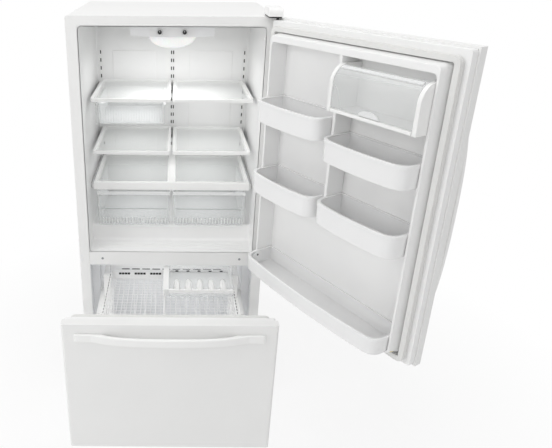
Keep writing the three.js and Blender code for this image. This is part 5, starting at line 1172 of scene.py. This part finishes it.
# %% Draw the handles
HANDLE_SEAT, HANDLE_HEIGHT_HALF = -75.3, 16.5
PAD_START, END_START, INNER_END = 273, 322, 234  # along the half handle, from its middle
OUTER_BOW = ((0, -38), (116, -38), (199, -32), (PAD_START, -9))
INNER_BOW = ((0, -25), (94, -25), (199, -21), (INNER_END, 0))
STATIONS = (*range(0, 231, 10), 233, 236, 240, 246, 254, 262, 270, 276, 290, 306, 318, 325, 329,
            331.2)
DRAWER_HANDLE_Z, DOOR_HANDLE_X, DOOR_HANDLE_Z = 645.5, -346.5, 1191


def bow_depth(points, x):
    """Depth of a cubic curve at x, found by halving."""
    low, high = 0.0, 1.0
    p0, p1, p2, p3 = (Vector(p) for p in points)
    for _ in range(30):
        share = (low + high) / 2
        here = bend(p0.lerp(p1, share), p1.lerp(p2, share), p2.lerp(p3, share), share)
        low, high = (share, high) if here.x < x else (low, share)
    return bend(p0.lerp(p1, low), p1.lerp(p2, low), p2.lerp(p3, low), low).y


def bowed_handle(turn_and_place):
    """A bowed bar lying in plan, taken to its place on the closed front."""
    rings = []
    for x in sorted({round(side * x, 2) for _, side in SIDES for x in STATIONS}):
        reach, end = abs(x), max(0.0, (abs(x) - END_START) / 10)
        outer = bow_depth(OUTER_BOW, reach) if reach <= PAD_START else -9 + end ** 2 * 5
        inner = min(bow_depth(INNER_BOW, reach), 0.0) if reach < INNER_END else 0.0
        half = HANDLE_HEIGHT_HALF - 3.0 * end ** 2
        rings.append([(x, HANDLE_SEAT + d, z) for z, d in
                      rounded_ring(-half, half, outer, inner, min(5.5, (inner - outer) * 0.45))])
    bar = loft("handle", rings)
    bar.transform(turn_and_place)
    return bar


drawer_bar = bowed_handle(Matrix.Translation((0, 0, DRAWER_HANDLE_Z * MM)))
door_bar = bowed_handle(Matrix.Translation((DOOR_HANDLE_X * MM, 0, DOOR_HANDLE_Z * MM))
                        @ Matrix.Rotation(math.pi / 2, 4, "Y"))
for body, bar in (("drawer", drawer_bar), ("door", door_bar)):
    finished(f"{body}_handle_bar", bar, abs_white, body, "white_plastic",
             replaces=f"{body}_handle", sharp=50)
print("handles drawn")

# %% [markdown]
# ** Door bins.** A bin is straight at the back and bowed in front, with round corners. The plan is
# drawn once as a curve; the wall is lofted from it, inset at the foot and thickened to a rim band
# at the top, then down the inside again. The bottom bin has a round boss, and a black disc on one
# end of it is painted shade for a hole.

# %% Draw the bins
BIN_CORNER, BIN_BACK = 40.0, -44.7
HINGE_COLUMN, FREE_COLUMN, WHOLE = (11.8, 317.2), (-317.2, -3.8), (-317.2, 317.2)
END_Y, BOW_Y = 84, 95  # how far the front stands out at its ends and in its middle
BINS = {"bin_upper_left": (HINGE_COLUMN, 1338.4, 1413.4, END_Y, BOW_Y),
        "bin_upper_right": (FREE_COLUMN, 1290.6, 1362.6, END_Y, BOW_Y),
        "bin_lower_left": (HINGE_COLUMN, 1078.1, 1153.1, END_Y, BOW_Y),
        "bin_lower_right": (FREE_COLUMN, 1081.6, 1155.6, END_Y, BOW_Y),
        "bin_bottom": (WHOLE, 752.3, 812, 86, 102)}
BOSS_Y, BOSS_Z, HOLE_Z = 30, 783, 795


def bin_plan(x0, x1, end, bow, inset):
    """Points round a bin: back edge, side, bowed front, side."""
    a, b, back, near = x0 + inset, x1 - inset, BIN_BACK + inset, end - inset
    reach = (b - a) / 2 - BIN_CORNER
    rise = (bow - end) / (1 + reach / (2 * BIN_CORNER))
    tip = ((a + b) / 2, near + rise * (1 + reach / BIN_CORNER))
    right_end, left_end = (b - BIN_CORNER, near + rise), (a + BIN_CORNER, near + rise)
    points = [(a + 4, back), (b - 4, back), (b - 1, back + 1), (b, back + 4)]
    points += [bend((b, near - BIN_CORNER), (b, near), right_end, k / 6) for k in range(7)]
    points += [bend(right_end, tip, left_end, k / 16) for k in range(1, 16)]
    points += [bend(left_end, (a, near), (a, near - BIN_CORNER), k / 6) for k in range(7)]
    points += [(a, back + 4), (a + 1, back + 1)]
    return [tuple(p) for p in points]


def bin_shell(x0, x1, floor, rim, end, bow):
    """A bin's wall and floor."""
    levels = ((7, floor), (3.5, floor + 1), (2.2, floor + 5), (1.4, rim - 13), (0, rim - 11.5),
              (0, rim - 2), (0.6, rim - 0.6), (2, rim), (6.5, rim), (7.9, rim - 0.8),
              (8.2, rim - 3), (4.2, rim - 6), (4.6, floor + 6), (7, floor + 2.5))
    return loft("bin", [[(x, y, z) for x, y in bin_plan(x0, x1, end, bow, inset)]
                        for inset, z in levels])


for node, (column, floor, rim, end_y, bow_y) in BINS.items():
    finished(f"{node}_shell", bin_shell(*column, floor, rim, end_y, bow_y), bin_white, "door",
             "white_plastic", replaces=node, sharp=50)
boss = loft("boss", [[(x, y, z) for y, z in arc((BOSS_Y, BOSS_Z), (radius, radius), 32)]
                     for x, radius in ((316, 27), (308, 27), (306, 25))])
finished("bottom_bin_boss", boss, bin_white, "door", "white_plastic", sharp=50)
# painted shade: a black disc on the boss's end stands for its hole
hole_shade_disc = loft("hole", [[(x, y, z) for y, z in arc((BOSS_Y, HOLE_Z), (4, 4), 16)]
                          for x in (306.5, 305.6)])
finished("bottom_bin_boss_hole", hole_shade_disc, shadow_black, "door", "white_plastic")
print("bins:", len(BINS))

# %% [markdown]
# ** Dairy box.** Two white cheeks and a tray hold a clear cover that is bent to a quarter round and
# tips up on two pins. The cover is a strip of arc, thickened, with a half-moon grip on its front
# and two milky ribs over its bend, which are a painted highlight along the bend.

# %% Draw the dairy box and its cover
DAIRY_LEFT, DAIRY_RIGHT = -304.2, -16.8
DAIRY_MIDDLE = (DAIRY_LEFT + DAIRY_RIGHT) / 2
BEND_Y, BEND_Z, BEND_RADIUS = 16, 1528, 51  # the cover's round part
COVER_FACE, COVER_LOWEST = 67.0, 1456.0
PIN_Y, PIN_Z = 36, 1568


def dairy_piece(name, mesh, material, **settings):
    """A piece that tips up with the dairy cover."""
    finished(name, mesh, material, "dairy_cover", "clear_plastic", **settings)


carried_over("dairy_cheeks", "dairy_box", abs_white, "door", "white_plastic", 1.2, 2)
strip = [(COVER_FACE, COVER_LOWEST + 9 * k) for k in range(8)]
strip += arc((BEND_Y, BEND_Z), (BEND_RADIUS, BEND_RADIUS), 18, 4, 78.7)
cover_rings = [[(x, y, z) for y, z in strip] for x in
               (DAIRY_LEFT, DAIRY_LEFT + 2, DAIRY_MIDDLE, DAIRY_RIGHT - 2, DAIRY_RIGHT)]
cover_mesh = bpy.data.meshes.new("cover")
width = len(strip)
cover_mesh.from_pydata([Vector(p) * MM for ring in cover_rings for p in ring], [],
                       [(r * width + k, r * width + k + 1, (r + 1) * width + k + 1,
                         (r + 1) * width + k) for r in range(4) for k in range(width - 1)])
dairy_piece("dairy_cover_sheet", tidy_normals(cover_mesh, towards=(0, 1, 0)), clear_styrene,
            replaces="dairy_cover", wall=2.5)
half_moon = arc((DAIRY_MIDDLE, COVER_LOWEST + 1), (36, 17), 20, 0, 180)
grip = loft("grip", [[(x, y, z) for x, z in half_moon] for y in (COVER_FACE - 0.2,
                                                                COVER_FACE + 3.2)])
dairy_piece("dairy_cover_grip", grip, milky_styrene, bevel=1.0)
finished("dairy_box_lip", block(DAIRY_LEFT + 1, DAIRY_RIGHT - 1, 61, 70, 1443.4, 1454), abs_white,
         "door", "white_plastic", bevel=2)
# painted highlight: two raised milky wires over the bend stand for the band of reflected light
# there
highlight_rib_paths = [[(x, y, z) for x in (DAIRY_LEFT + 6, DAIRY_RIGHT - 6)] for y, z in
             arc((BEND_Y, BEND_Z), (BEND_RADIUS + 1, BEND_RADIUS + 1), 1, 58, 64)]
dairy_piece("dairy_cover_rib", wire(highlight_rib_paths, 3.2, 10, milky_styrene), milky_styrene)
pins = [[(x, PIN_Y, PIN_Z) for x in ends] for ends in ((DAIRY_LEFT - 5, DAIRY_LEFT + 6),
                                                      (DAIRY_RIGHT - 6, DAIRY_RIGHT + 5))]
pins.append([(x, PIN_Y - 2, PIN_Z + 4) for x in (DAIRY_LEFT, DAIRY_RIGHT)])
dairy_piece("dairy_cover_pins", wire(pins, 2.3, 12, clear_styrene), clear_styrene)
print("dairy box drawn")

# %% [markdown]
# ## Freezer drawer
# Behind the drawer's front sits a liner with a bowed plug that fills the freezer's mouth. It is
# lofted like the door's, but its last rings are curved: their depth comes from a bow that is
# deepest in the middle. The frame that carries the basket keeps its solid's shape.

# %% Draw the drawer's liner
PLUG_HALF, PLUG_END, PLUG_MIDDLE = 322, -8.0, 27.0  # the last two are depths


def plug_bow(inset):
    """Depth of the bowed plug at x."""
    return lambda x: (PLUG_END - inset) + (PLUG_MIDDLE - PLUG_END) * max(
        0.0, 1 - (abs(x) / PLUG_HALF) ** 2.2)


drawer_rings = [upright_ring(half, low, high, y, radius, side=14, bow=bow)
                for half, low, high, y, radius, bow in (
                    (RIM_HALF, 149, 692, SEAM_Y, 8, None), (RIM_HALF, 149, 692, RIM_BACK, 8, None),
                    (PLUG_HALF, 190, 671, RIM_BACK, 12, None),
                    (PLUG_HALF, 190, 671, 0, 12, plug_bow(3)),
                    (PLUG_HALF - 3, 193, 668, 0, 12, plug_bow(0)))]
finished("drawer_liner_sheet", loft("drawer_liner", drawer_rings, cap_start=False,
                                    towards=(0, 1, 0)),
         liner_white, "drawer", "white_plastic", replaces="drawer_liner", wall=LINER_SHEET,
         sharp=50)
carried_over("drawer_frame_rails", "drawer_frame", enamel, "drawer", "zinc", 0.8, 2)
print("drawer liner drawn")

# %% [markdown]
# **Wire basket.** Bent wires, welded crosswise and dipped in vinyl, hang on a thicker rim. Each
# wire is first a path of straight lines with bent corners, then the `wires` tree makes it round.
# The floor steps up at the back, over the machine compartment.

# %% Bend the basket's wires
BASKET_HALF, BASKET_FRONT, BASKET_BACK = 246, 40, 384
BASKET_RIM, BASKET_FLOOR, STEP_Y, STEP_Z = 640, 300, 298, 440
COLUMN_COUNT, ROW_COUNT = 11, 8
RIM_WIRE, THIN_WIRE = 3.4, 1.3  # radii


def basket_piece(name, mesh, material=coated_wire, **settings):
    """A piece that slides with the basket."""
    return finished(name, mesh, material, "drawer", "white_wire", **settings)


rim_points = [(0, BASKET_FRONT), (BASKET_HALF, BASKET_FRONT), (BASKET_HALF, BASKET_BACK),
              (-BASKET_HALF, BASKET_BACK), (-BASKET_HALF, BASKET_FRONT), (0.01, BASKET_FRONT)]
rim_paths = [bent([(x, y, BASKET_RIM) for x, y in rim_points], 14),
             [(-23, y, BASKET_RIM) for y in (BASKET_FRONT, BASKET_BACK)]]
thin_paths = []
for k in range(COLUMN_COUNT + 1):
    x = -BASKET_HALF + 2 * BASKET_HALF * k / COLUMN_COUNT
    thin_paths.append(bent([(x, BASKET_FRONT, BASKET_RIM), (x, BASKET_FRONT, BASKET_FLOOR),
                            (x, STEP_Y, BASKET_FLOOR), (x, STEP_Y, STEP_Z),
                            (x, BASKET_BACK, STEP_Z), (x, BASKET_BACK, BASKET_RIM)], 8, steps=3))
for k in range(1, ROW_COUNT):
    y = BASKET_FRONT + (BASKET_BACK - BASKET_FRONT) * k / ROW_COUNT
    low = (STEP_Z if y > STEP_Y - 4 else BASKET_FLOOR) - 3
    side_x = BASKET_HALF - 3
    thin_paths.append(bent([(-side_x, y, BASKET_RIM), (-side_x, y, low), (side_x, y, low),
                            (side_x, y, BASKET_RIM)], 8, steps=3))
thin_paths += [[(x, BASKET_FRONT + 3, z) for x in (-BASKET_HALF, BASKET_HALF)]
               for z in (385, 470, 555)]
basket = together(wire(rim_paths, RIM_WIRE, 10, coated_wire),
                  wire(thin_paths, THIN_WIRE, 6, coated_wire))
basket_wires = basket_piece("basket_wires", basket, replaces="wire_basket", sharp=70)
print("basket wires:", len(thin_paths))

# %% [markdown]
# **Fine mesh.** A close mesh hangs just inside the basket's mouth, tied to its rim on all four
# sides. It is laid wire by wire both ways, and the wires one way pass 2 mm over the others.

# %% Lay the fine mesh in the basket's mouth
MESH_Z, MESH_SIDE, MESH_PITCH, MESH_WIRE = 602, 240, 19, 1.2
mesh_paths = [bent([(-MESH_SIDE, y, BASKET_RIM), (-MESH_SIDE + 12, y, MESH_Z),
                    (MESH_SIDE - 12, y, MESH_Z), (MESH_SIDE, y, BASKET_RIM)], 8, steps=2)
              for y in range(54, 378, MESH_PITCH)]
mesh_paths += [bent([(x, BASKET_FRONT + 3, BASKET_RIM), (x, BASKET_FRONT + 14, MESH_Z + 2),
                     (x, BASKET_BACK - 14, MESH_Z + 2), (x, BASKET_BACK - 3, BASKET_RIM)],
                    8, steps=2) for x in range(-228, 229, MESH_PITCH)]
basket_piece("basket_mouth_mesh", wire(mesh_paths, MESH_WIRE, 6, coated_wire), sharp=70)
print("mesh wires:", len(mesh_paths))

# %% [markdown]
# ** Painted rim shadow and the rear strip.** A dotted line of black dots beside each rim is painted
# shade for the gap between the basket's rim and the drawer's slides. A white strip closes the
# basket's back; three groups of dark plates on it are painted shade for slots, and two pairs of
# black clips hold its front corners.

# %% Add the painted rim shadow and the slotted strip
SHADE_DOT_COUNT, SHADE_DOT_PITCH, SHADE_DOT_X = 15, 20.5, 247.5
STRIP_Y, STRIP_Z, SLOT_GROUPS, SLOTS_IN_GROUP = 376.3, 632, (-212, -147, -82), 4
# painted shade: black dots beside each rim stand for the shadowed gap by the slides
shade_dot = block(-3.4, 3.4, -5, 5, 0, 3)
for side_name, side in SIDES:
    shade_dot_row = in_a_row(shade_dot, SHADE_DOT_COUNT, (side * SHADE_DOT_X, 62, BASKET_RIM - 0.5),
                       (0, SHADE_DOT_PITCH, 0), shadow_black)
    basket_piece(f"ball_cage_{side_name}", shade_dot_row, shadow_black, bevel=0.6, segments=2)
clips = [block(*span(side, 247, 262), 54, 62, z, z + 6) for _, side in SIDES for z in (628, 640)]
basket_piece("basket_clips", together(*clips), abs_black, bevel=1)
basket_piece("basket_back_strip", block(-243, 243, 377, 380, 606, 639), bevel=1)
# painted shade: dark plates on the strip stand for its slots
slot_shade_plate = block(-5, 5, 0, 1, -4.5, 4.5)
slot_shade_groups = [in_a_row(slot_shade_plate, SLOTS_IN_GROUP, (x, STRIP_Y, STRIP_Z), (12, 0, 0),
                        shadow_black) for x in SLOT_GROUPS]
basket_piece("basket_strip_slots", together(*slot_shade_groups), shadow_black)
print("strip slots:", len(SLOT_GROUPS) * SLOTS_IN_GROUP)

# %% [markdown]
# ** Sliding tray.** A clear tray slides on the basket's rim. White borders edge it in front and on
# one side, white oval cups stand on its floor, and a small black plate behind each cup is painted
# shade.

# %% Draw the sliding tray
TRAY_LEFT, TRAY_RIGHT, TRAY_FRONT, TRAY_BACK, TRAY_FOOT = -30, 246, 187, 372, 643.8
TRAY_LEVELS = ((6, 0), (2.5, 1.5), (0, 5), (0, 22), (0, 30), (2.6, 30), (3.4, 28), (6, 6), (9, 3))
CUP_XS, CUP_Y, CUP_RADII = range(25, 214, 46), 255, (13, 48)
CUP_PROFILE = ((1, 647), (0.95, 654), (0.6, 658))


def tray_piece(name, mesh, material, **settings):
    """A piece that slides with the tray."""
    finished(name, mesh, material, "freezer_tray", "white_plastic", **settings)


tray_rings = [[(a, b, TRAY_FOOT + rise) for a, b in rounded_ring(
    TRAY_LEFT + inset, TRAY_RIGHT - inset, TRAY_FRONT + inset, TRAY_BACK - inset, 10)]
    for inset, rise in TRAY_LEVELS]
tray_piece("freezer_tray_shell", loft("tray", tray_rings), clear_styrene, replaces="freezer_tray",
           sharp=50)
# painted shade: a black plate on the tray's back wall behind each cup
tray_shade_plates = [block(x - 6, x + 6, 364.4, 366, 650, 655) for x in CUP_XS]
tray_piece("freezer_tray_slots", together(*tray_shade_plates), shadow_black)
cups = [loft("cup", [[(a, b, z) for a, b in
                      arc((x, CUP_Y), [radius * share for radius in CUP_RADII], 24)]
                     for share, z in CUP_PROFILE]) for x in CUP_XS]
tray_borders = together(block(-29.6, -7, 188, 371, 645, 674.2),
                        block(-7.5, 245, 186.6, 194, 660, 674.2), *cups)
tray_piece("freezer_tray_borders", tray_borders, abs_white, bevel=2.2)
print("tray drawn, cups:", len(cups))

# %% [markdown]
# ## Floor and light
# The refrigerator stands on a pale matt floor. To the camera the floor fades to plain white away
# from the object, and near the object it keeps part of its own shading, so that the shadow stays.
# Light Path gives that choice, which adds no light to the object.

# %% Add the floor
FLOOR_HALF = 20  # in metres
SHADOW_REACH, WHITE_FROM = 0.8, 1.8  # in metres from the middle
LEAST_WHITE = 0.8
floor_mesh = bpy.data.meshes.new("floor")
floor_mesh.from_pydata([(a * FLOOR_HALF, b * FLOOR_HALF, 0) for a, b in
                        ((-1, -1), (1, -1), (1, 1), (-1, 1))], [], [(0, 1, 2, 3)])
studio_floor = bpy.data.objects.new("studio_floor", floor_mesh)
bpy.context.scene.collection.objects.link(studio_floor)
floor_paint, tree, shader = new_material("matt_studio_floor", "#f4f4f4", 0.9)
tint(tree, shader, grain(tree, 300.0), "#f3f3f3", "#f6f6f6")
floor_place = add_node(tree, "ShaderNodeTexCoord")
distance = add_node(tree, "ShaderNodeVectorMath", {0: floor_place.outputs["Object"]},
                    operation="LENGTH")
fade = add_node(tree, "ShaderNodeMapRange", {
    "Value": distance.outputs["Value"], "From Min": SHADOW_REACH, "From Max": WHITE_FROM,
    "To Min": LEAST_WHITE, "To Max": 1.0})
floor_path = add_node(tree, "ShaderNodeLightPath")
share = add_node(tree, "ShaderNodeMath", {0: floor_path.outputs["Is Camera Ray"],
                                          1: fade.outputs[0]}, operation="MULTIPLY")
glow = add_node(tree, "ShaderNodeEmission", {"Color": linear("#ffffff"), "Strength": 1.0})
floor_mix = add_node(tree, "ShaderNodeMixShader", {0: share.outputs[0], 1: shader.outputs[0],
                                                   2: glow.outputs[0]})
floor_end = next(node for node in tree.nodes if node.type == "OUTPUT_MATERIAL")
tree.links.new(floor_mix.outputs[0], floor_end.inputs["Surface"])
floor_mesh.materials.append(floor_paint)
studio_floor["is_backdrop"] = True
print("floor added")

# %% [markdown]
# **Surroundings.** An even white world fills the shade at 0.6. Camera, mirror and see-through rays
# meet it at full white instead, so that the background is white and the glass stays bright while
# the object gets no more light.

# %% Add the world
WORLD_FILL = 0.6
world = bpy.data.worlds.new("studio")
bpy.context.scene.world = world
world.use_nodes = True
sky = world.node_tree
sky.nodes.clear()
path = add_node(sky, "ShaderNodeLightPath")
seen = add_node(sky, "ShaderNodeMath", {0: path.outputs["Is Camera Ray"],
                                        1: path.outputs["Is Glossy Ray"]}, operation="MAXIMUM")
seen_through = add_node(sky, "ShaderNodeMath", {0: seen.outputs[0],
                                                1: path.outputs["Is Transmission Ray"]},
                        operation="MAXIMUM")
fill = add_node(sky, "ShaderNodeBackground", {"Color": linear("#ffffff"), "Strength": WORLD_FILL})
white = add_node(sky, "ShaderNodeBackground", {"Color": linear("#ffffff"), "Strength": 1.0})
either = add_node(sky, "ShaderNodeMixShader", {0: seen_through.outputs[0], 1: fill.outputs[0],
                                               2: white.outputs[0]})
add_node(sky, "ShaderNodeOutputWorld", {"Surface": either.outputs[0]})
bpy.context.scene.view_settings.view_transform = "Standard"
print("world fill:", WORLD_FILL)

# %% [markdown]
# **Lamps.** Three large soft boxes, in front, at the left and above, light the object as in a
# catalogue. The compartments would be dark at their backs, so small lamps stand in for the bulb
# and for the light that white walls throw to and fro. Those are not seen themselves, and the
# basket's lamp moves with the drawer.

# %% Add the lamps
STUDIO_LAMPS = {"front_box": ((-0.25, -6.0, 3.4), (-0.2, 0.2, 1.0), (2.4, 2.0), 43),
                "left_box": ((-3.2, -1.6, 2.2), (-0.2, 0.2, 0.9), (1.6, 2.2), 31),
                "top_box": ((-0.2, -0.3, 3.6), (-0.2, -0.3, 0.0), (2.4, 2.0), 20)}
INNER_LAMPS = {"fridge_bulb": ((0, 160, 1528), (0, 200, 1000), (0.3, 0.12), 0.95),
               "deli_glow": ((-165, 230, 1325), (-165, 240, 1150), (0.22, 0.2), 0.24),
               "upper_shelf_glow": ((165, 230, 1335), (165, 240, 1150), (0.22, 0.2), 0.11),
               "lower_shelf_glow": ((0, 250, 1122), (0, 200, 700), (0.5, 0.2), 0.3),
               "crisper_glow": ((0, 250, 972), (0, 250, 700), (0.5, 0.25), 0.56),
               "freezer_bulb": ((0, 180, 640), (0, 240, 300), (0.4, 0.2), 0.5),
               "basket_glow": ((0, -160, 585), (0, -160, 300), (0.44, 0.26), 0.75)}


def soft_box(name, at, aim, size, power):
    """An area lamp at a place, aimed at a point, in metres."""
    lamp = bpy.data.objects.new(name, bpy.data.lights.new(name, "AREA"))
    lamp.data.shape = "RECTANGLE"
    lamp.data.size, lamp.data.size_y = size
    lamp.data.energy = power
    lamp.location = at
    lamp.rotation_euler = (Vector(aim) - Vector(at)).to_track_quat("-Z", "Y").to_euler()
    bpy.context.scene.collection.objects.link(lamp)
    return lamp


for name, (at, aim, size, power) in STUDIO_LAMPS.items():
    soft_box(name, at, aim, size, power)
for name, (at, aim, size, power) in INNER_LAMPS.items():
    lamp = soft_box(name, CABINET_PLACE @ (Vector(at) * MM), CABINET_PLACE @ (Vector(aim) * MM),
                    size, power)
    lamp.visible_camera = False
    lamp.visible_glossy = False
basket_glow = bpy.data.objects["basket_glow"]
basket_glow.parent = basket_wires
basket_glow.matrix_parent_inverse = basket_wires.matrix_world.inverted()
print("lamps:", len(STUDIO_LAMPS) + len(INNER_LAMPS))

# %% [markdown]
# ## Check the size and finish
# The dressed model must stay as large as its solids. The two boxes are compared and their largest
# difference is printed.

# %% Print the largest difference
scene_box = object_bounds()
differences = [abs(a - b) for low, high in zip(cad_box, scene_box) for a, b in zip(low, high)]
print("largest difference in mm:", round(max(differences) * 1000, 2))
